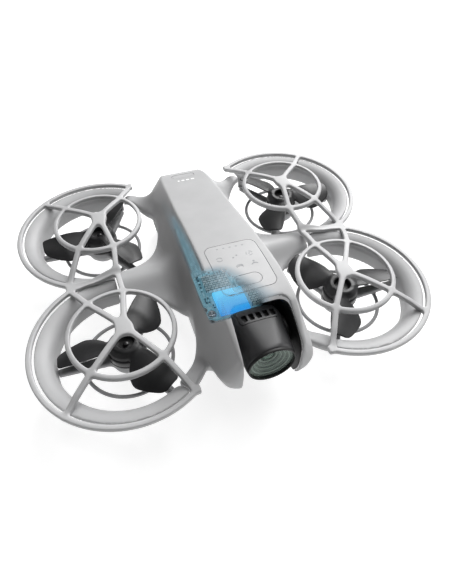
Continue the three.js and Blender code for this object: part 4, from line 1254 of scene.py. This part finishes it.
def many_boxes(name, boxes):
    """One object of separate small boxes, each a (low, high) pair."""
    corners = [(0, 0, 0), (1, 0, 0), (1, 1, 0), (0, 1, 0), (0, 0, 1), (1, 0, 1), (1, 1, 1), (0, 1, 1)]
    sides = [(0, 3, 2, 1), (4, 5, 6, 7), (0, 1, 5, 4), (1, 2, 6, 5), (2, 3, 7, 6), (3, 0, 4, 7)]
    points, faces = [], []
    for low, high in boxes:
        start = len(points)
        points += [tuple(low[i] + (high[i] - low[i]) * c[i] for i in range(3)) for c in corners]
        faces += [tuple(start + i for i in side) for side in sides]
    return object_of(name, points, faces)


def inset_outline(outline, margin):
    """The same outline, moved inwards by a margin; the outline turns left as it goes."""
    made = []
    for k, (x, y) in enumerate(outline):
        before, after = Vector(outline[k - 1]), Vector(outline[(k + 1) % len(outline)])
        into = (Vector((x, y)) - before).normalized()
        away = (after - Vector((x, y))).normalized()
        turn = (into.orthogonal() + away.orthogonal()) / (1 + into.dot(away))
        made.append((x + turn.x * margin, y + turn.y * margin))
    return made


def edge_trace(name, outline, margin, width, low):
    """A raised track that follows an outline just inside its edge."""
    track = prism(name, inset_outline(outline, margin), low, low + 0.12)
    return cut(track, prism("trace_core", inset_outline(outline, margin + width), low - 1, low + 1))


def build_board():
    """Mainboard with its edge tracks and screw."""
    low, high = box_of("mainboard")
    left, right, front, back = low.x, high.x, low.y, high.y
    screw_low, screw_high = box_of("board_screw")
    hole = ((screw_low.x + screw_high.x) / 2, (screw_low.y + screw_high.y) / 2)
    outline = [
        (left + 2.4, front), (right - 1.2, front), (right, front + 1.2), (right, back), (left, back),
        (left, front + 7.5), (left + 1.0, front + 6.4), (left + 1.0, front + 4.8), (left, front + 3.8),
        (left, front + 1.4), (left + 1.2, front + 0.9),
    ]
    board = prism("mainboard_plate", outline, low.z, high.z)
    cut(board, prism("hole_tool", dot(*hole, 0.9), low.z - 1, high.z + 1))
    piece(board, "airframe", BOARD, ["mainboard"])
    for k, margin in enumerate((0.12, 0.55)):
        track = edge_trace(f"edge_track_{k}", outline, margin, 0.16, high.z)
        piece(track, "airframe", PALE_PART)
    collar = prism("screw_pad", dot(*hole, 1.75), high.z, high.z + 0.06)
    cut(collar, prism("hole_tool", dot(*hole, 0.95), high.z - 1, high.z + 1))
    piece(collar, "airframe", STEEL)
    seat, slot = high.z + 0.2, screw_high.z - 0.4
    profile = [(0, screw_low.z), (0.6, screw_low.z), (0.6, seat), (1.3, seat), (1.3, screw_high.z)]
    profile += [(0.5, screw_high.z), (0.4, slot), (0, slot)]
    head = lathe("board_screw_head", bevelled(profile, 0.12), (*hole, 0), steps=28)
    piece(head, "airframe", STEEL, ["board_screw"])


def build_chip(board_top):
    low, high = box_of("memory_chip")
    piece(soft_box("memory_package", low, high, 0.2), "airframe", CHIP, ["memory_chip"])
    pins = []
    for k in range(17):
        x = low.x + 0.5 + k * 0.65
        for front, back in ((low.y - 0.18, low.y + 0.1), (high.y - 0.1, high.y + 0.35)):
            pins.append(((x, front, board_top), (x + 0.3, back, board_top + 0.5)))
    piece(many_boxes("memory_pins", pins), "airframe", STEEL)


def build_can(node):
    """Shield can with a sunk tray and four dimples."""
    low, high = box_of(node)
    can = soft_box(f"{node}_can", low, high, 0.35)
    rim = 0.7
    tray_low, tray_high = (low.x + rim, low.y + rim, high.z - 0.12), (high.x - rim, high.y - rim, high.z + 1)
    cut(can, soft_box("tray_tool", tray_low, tray_high, 0.3))
    for k in range(4):
        x = low.x + 1.6 + k * (high.x - low.x - 3.2) / 3
        cut(can, prism("dimple_tool", dot(x, (low.y + high.y) / 2, 0.35), high.z - 0.4, high.z + 1))
    piece(can, "airframe", ETCHED, [node])


def scatter_parts(draw, board_low, board_high, keep_clear):
    """Small parts on a grid over the board, away from the screw and the larger parts."""
    screw_low, screw_high = box_of("board_screw")
    screw = ((screw_low.x + screw_high.x) / 2, (screw_low.y + screw_high.y) / 2)
    top = board_high.z
    light, dark = [], []
    for x in np.arange(board_low.x + 1.2, board_high.x - 1, 1.05):
        for y in np.arange(board_low.y + 1.2, board_high.y - 0.6, 0.95):
            width, depth = draw.uniform(0.3, 0.85, 2)
            tall, tone = draw.uniform(0.25, 0.7), draw.random()
            clear = all(
                x + width < a.x - 0.3 or x > b.x + 0.3 or y + depth < a.y - 0.5 or y > b.y + 0.5
                for a, b in keep_clear
            )
            if clear and math.hypot(x - screw[0], y - screw[1]) >= 2.6 and tone > 0.12:
                (light if tone > 0.5 else dark).append(((x, y, top), (x + width, y + depth, top + tall)))
    piece(many_boxes("board_parts_light", light), "airframe", PALE_PART)
    piece(many_boxes("board_parts_dark", dark), "airframe", DARK_PART)


def build_side_board(draw):
    low, high = box_of("side_board")
    piece(soft_box("side_strip", low, high, 0.3), "airframe", BOARD, ["side_board"])
    around = [(low.x, low.y), (high.x, low.y), (high.x, high.y), (low.x, high.y)]
    for k, margin in enumerate((0.15, 0.5)):
        track = edge_trace(f"strip_track_{k}", around, margin, 0.14, high.z)
        piece(track, "airframe", PALE_PART)
    parts = []
    for y in np.arange(low.y + 1, high.y - 1, 1.3):
        width = draw.uniform(0.5, 1.2)
        x = draw.uniform(low.x + 0.4, high.x - 1.6)
        depth, tall = draw.uniform(0.4, 0.9), draw.uniform(0.3, 0.8)
        parts.append(((x, y, high.z), (x + width, y + depth, high.z + tall)))
    piece(many_boxes("side_parts", parts), "airframe", PALE_PART)


def build_electronics():
    build_board()
    board_low, board_high = box_of("mainboard")
    build_chip(board_high.z)
    shields = ("processor_shield", "radio_shield")
    for node in shields:
        build_can(node)
    draw = np.random.default_rng(7)
    scatter_parts(draw, board_low, board_high, [box_of(node) for node in ("memory_chip",) + shields])
    build_side_board(draw)


def build_spreader():
    low, high = box_of("heat_spreader")
    plate = soft_box("finned_spreader", low, high, 0.3)
    for k in range(6):
        x = low.x + 2 + k * 3.4
        channel = ((x, low.y - 1, low.z - 1), (x + 1.4, high.y + 1, low.z + 2.4))
        cut(plate, many_boxes("fin_tool", [channel]))
    piece(plate, "airframe", ALUMINIUM, ["heat_spreader"])


def build_port():
    """Charging socket with its tongue."""
    low, high = box_of("charging_port")
    half, middle = high.x, (low.z + high.z) / 2
    tube = lambda m: rounded_box_outline(half - m, low.z + m, high.z - m, 1.6 - m, 7)
    port = prism_along_y("charge_socket", tube(0), low.y, high.y)
    cut(port, prism_along_y("socket_tool", tube(0.4), low.y + 1, high.y + 1))
    piece(port, "airframe", STEEL, ["charging_port"])
    tongue_low = (-half + 1.3, low.y + 1, middle - 0.35)
    tongue_high = (half - 1.3, high.y - 0.8, middle + 0.35)
    piece(soft_box("socket_tongue", tongue_low, tongue_high), "airframe", TRIM)


def dress_kept_nodes():
    """CAD nodes whose shape stays get a real material."""
    kept = {"camera_sensor_board": BOARD, "battery_connector": TRIM}
    kept.update({f"motor_stator_{end}_{side}": COPPER for end in ENDS for side in SIDES})
    for node, material in kept.items():
        made = frame["nodes"][node]
        made.data.materials.clear()
        made.data.materials.append(material)


for build in (
    build_shell, build_marks, build_guards, build_ducts, build_rotors, build_pod, build_lens,
    build_camera_bay, build_belly, build_battery, build_electronics, build_spreader, build_port,
    dress_kept_nodes,
):
    build()

# ------------------------------------------------------------------ camera, floor and light
CENTRE = (CAD_BOX[0] + CAD_BOX[1]) / 2
TARGET = Vector((0.0008, -0.0128, CENTRE.z - 0.0086))
AZIMUTH, ELEVATION, ROLL = (math.radians(a) for a in (-19.66, 49.37, 0.98))
DISTANCE = 0.1928
FOCAL = 28.16


def build_camera():
    level = math.cos(ELEVATION)
    back = Vector((math.sin(AZIMUTH) * level, -math.cos(AZIMUTH) * level, math.sin(ELEVATION)))
    right = Vector((0, 0, 1)).cross(back).normalized()
    up = back.cross(right)
    turn = Matrix((right, up, back)).transposed() @ Matrix.Rotation(ROLL, 3, "Z")
    camera = in_scene("camera", bpy.data.cameras.new("camera"))
    camera.data.lens = FOCAL
    camera.data.sensor_width = 36
    camera.data.clip_start = 0.01
    camera.matrix_world = Matrix.Translation(TARGET + back * DISTANCE) @ turn.to_4x4()
    bpy.context.scene.camera = camera


def build_floor():
    work = bmesh.new()
    bmesh.ops.create_grid(work, x_segments=2, y_segments=2, size=3)
    mesh = bpy.data.meshes.new("floor")
    work.to_mesh(mesh)
    work.free()
    floor = in_scene("floor", mesh)
    floor.location.z = -0.0004
    material, tree, shader = node_material("light_table")
    shader.inputs["Roughness"].default_value = 0.9
    shader.inputs["Specular IOR Level"].default_value = 0.1
    tone = mix_colour(tree, noise(tree, 3, 2), (0.49, 0.49, 0.49, 1), (0.51, 0.51, 0.51, 1))
    tree.links.new(tone, shader.inputs["Base Color"])
    shader.inputs["Emission Color"].default_value = (1, 1, 1, 1)
    shader.inputs["Emission Strength"].default_value = 0.78
    mesh.materials.append(material)


def area_light(name, azimuth, elevation, distance, size, power):
    a, e = math.radians(azimuth), math.radians(elevation)
    away = Vector((math.sin(a) * math.cos(e), math.cos(a) * math.cos(e), math.sin(e)))
    data = bpy.data.lights.new(name, "AREA")
    data.shape = "SQUARE"
    data.size = size
    data.energy = power
    lamp = in_scene(name, data)
    lamp.location = away * distance
    lamp.rotation_euler = away.to_track_quat("Z", "Y").to_euler()


def build_light():
    """Azimuth is measured from +Y towards +X, so 90 is the aircraft's left."""
    area_light("key", 42, 38, 1.3, 0.9, 25)
    area_light("top", 60, 80, 1.4, 1.0, 8)
    area_light("side", 105, 22, 1.3, 0.7, 3)
    world = bpy.data.worlds.new("studio")
    world.use_nodes = True
    world.node_tree.nodes["Background"].inputs["Color"].default_value = (1, 1, 1, 1)
    world.node_tree.nodes["Background"].inputs["Strength"].default_value = 0.05
    bpy.context.scene.world = world
    bpy.context.scene.view_settings.view_transform = "Standard"


build_camera()
build_floor()
build_light()
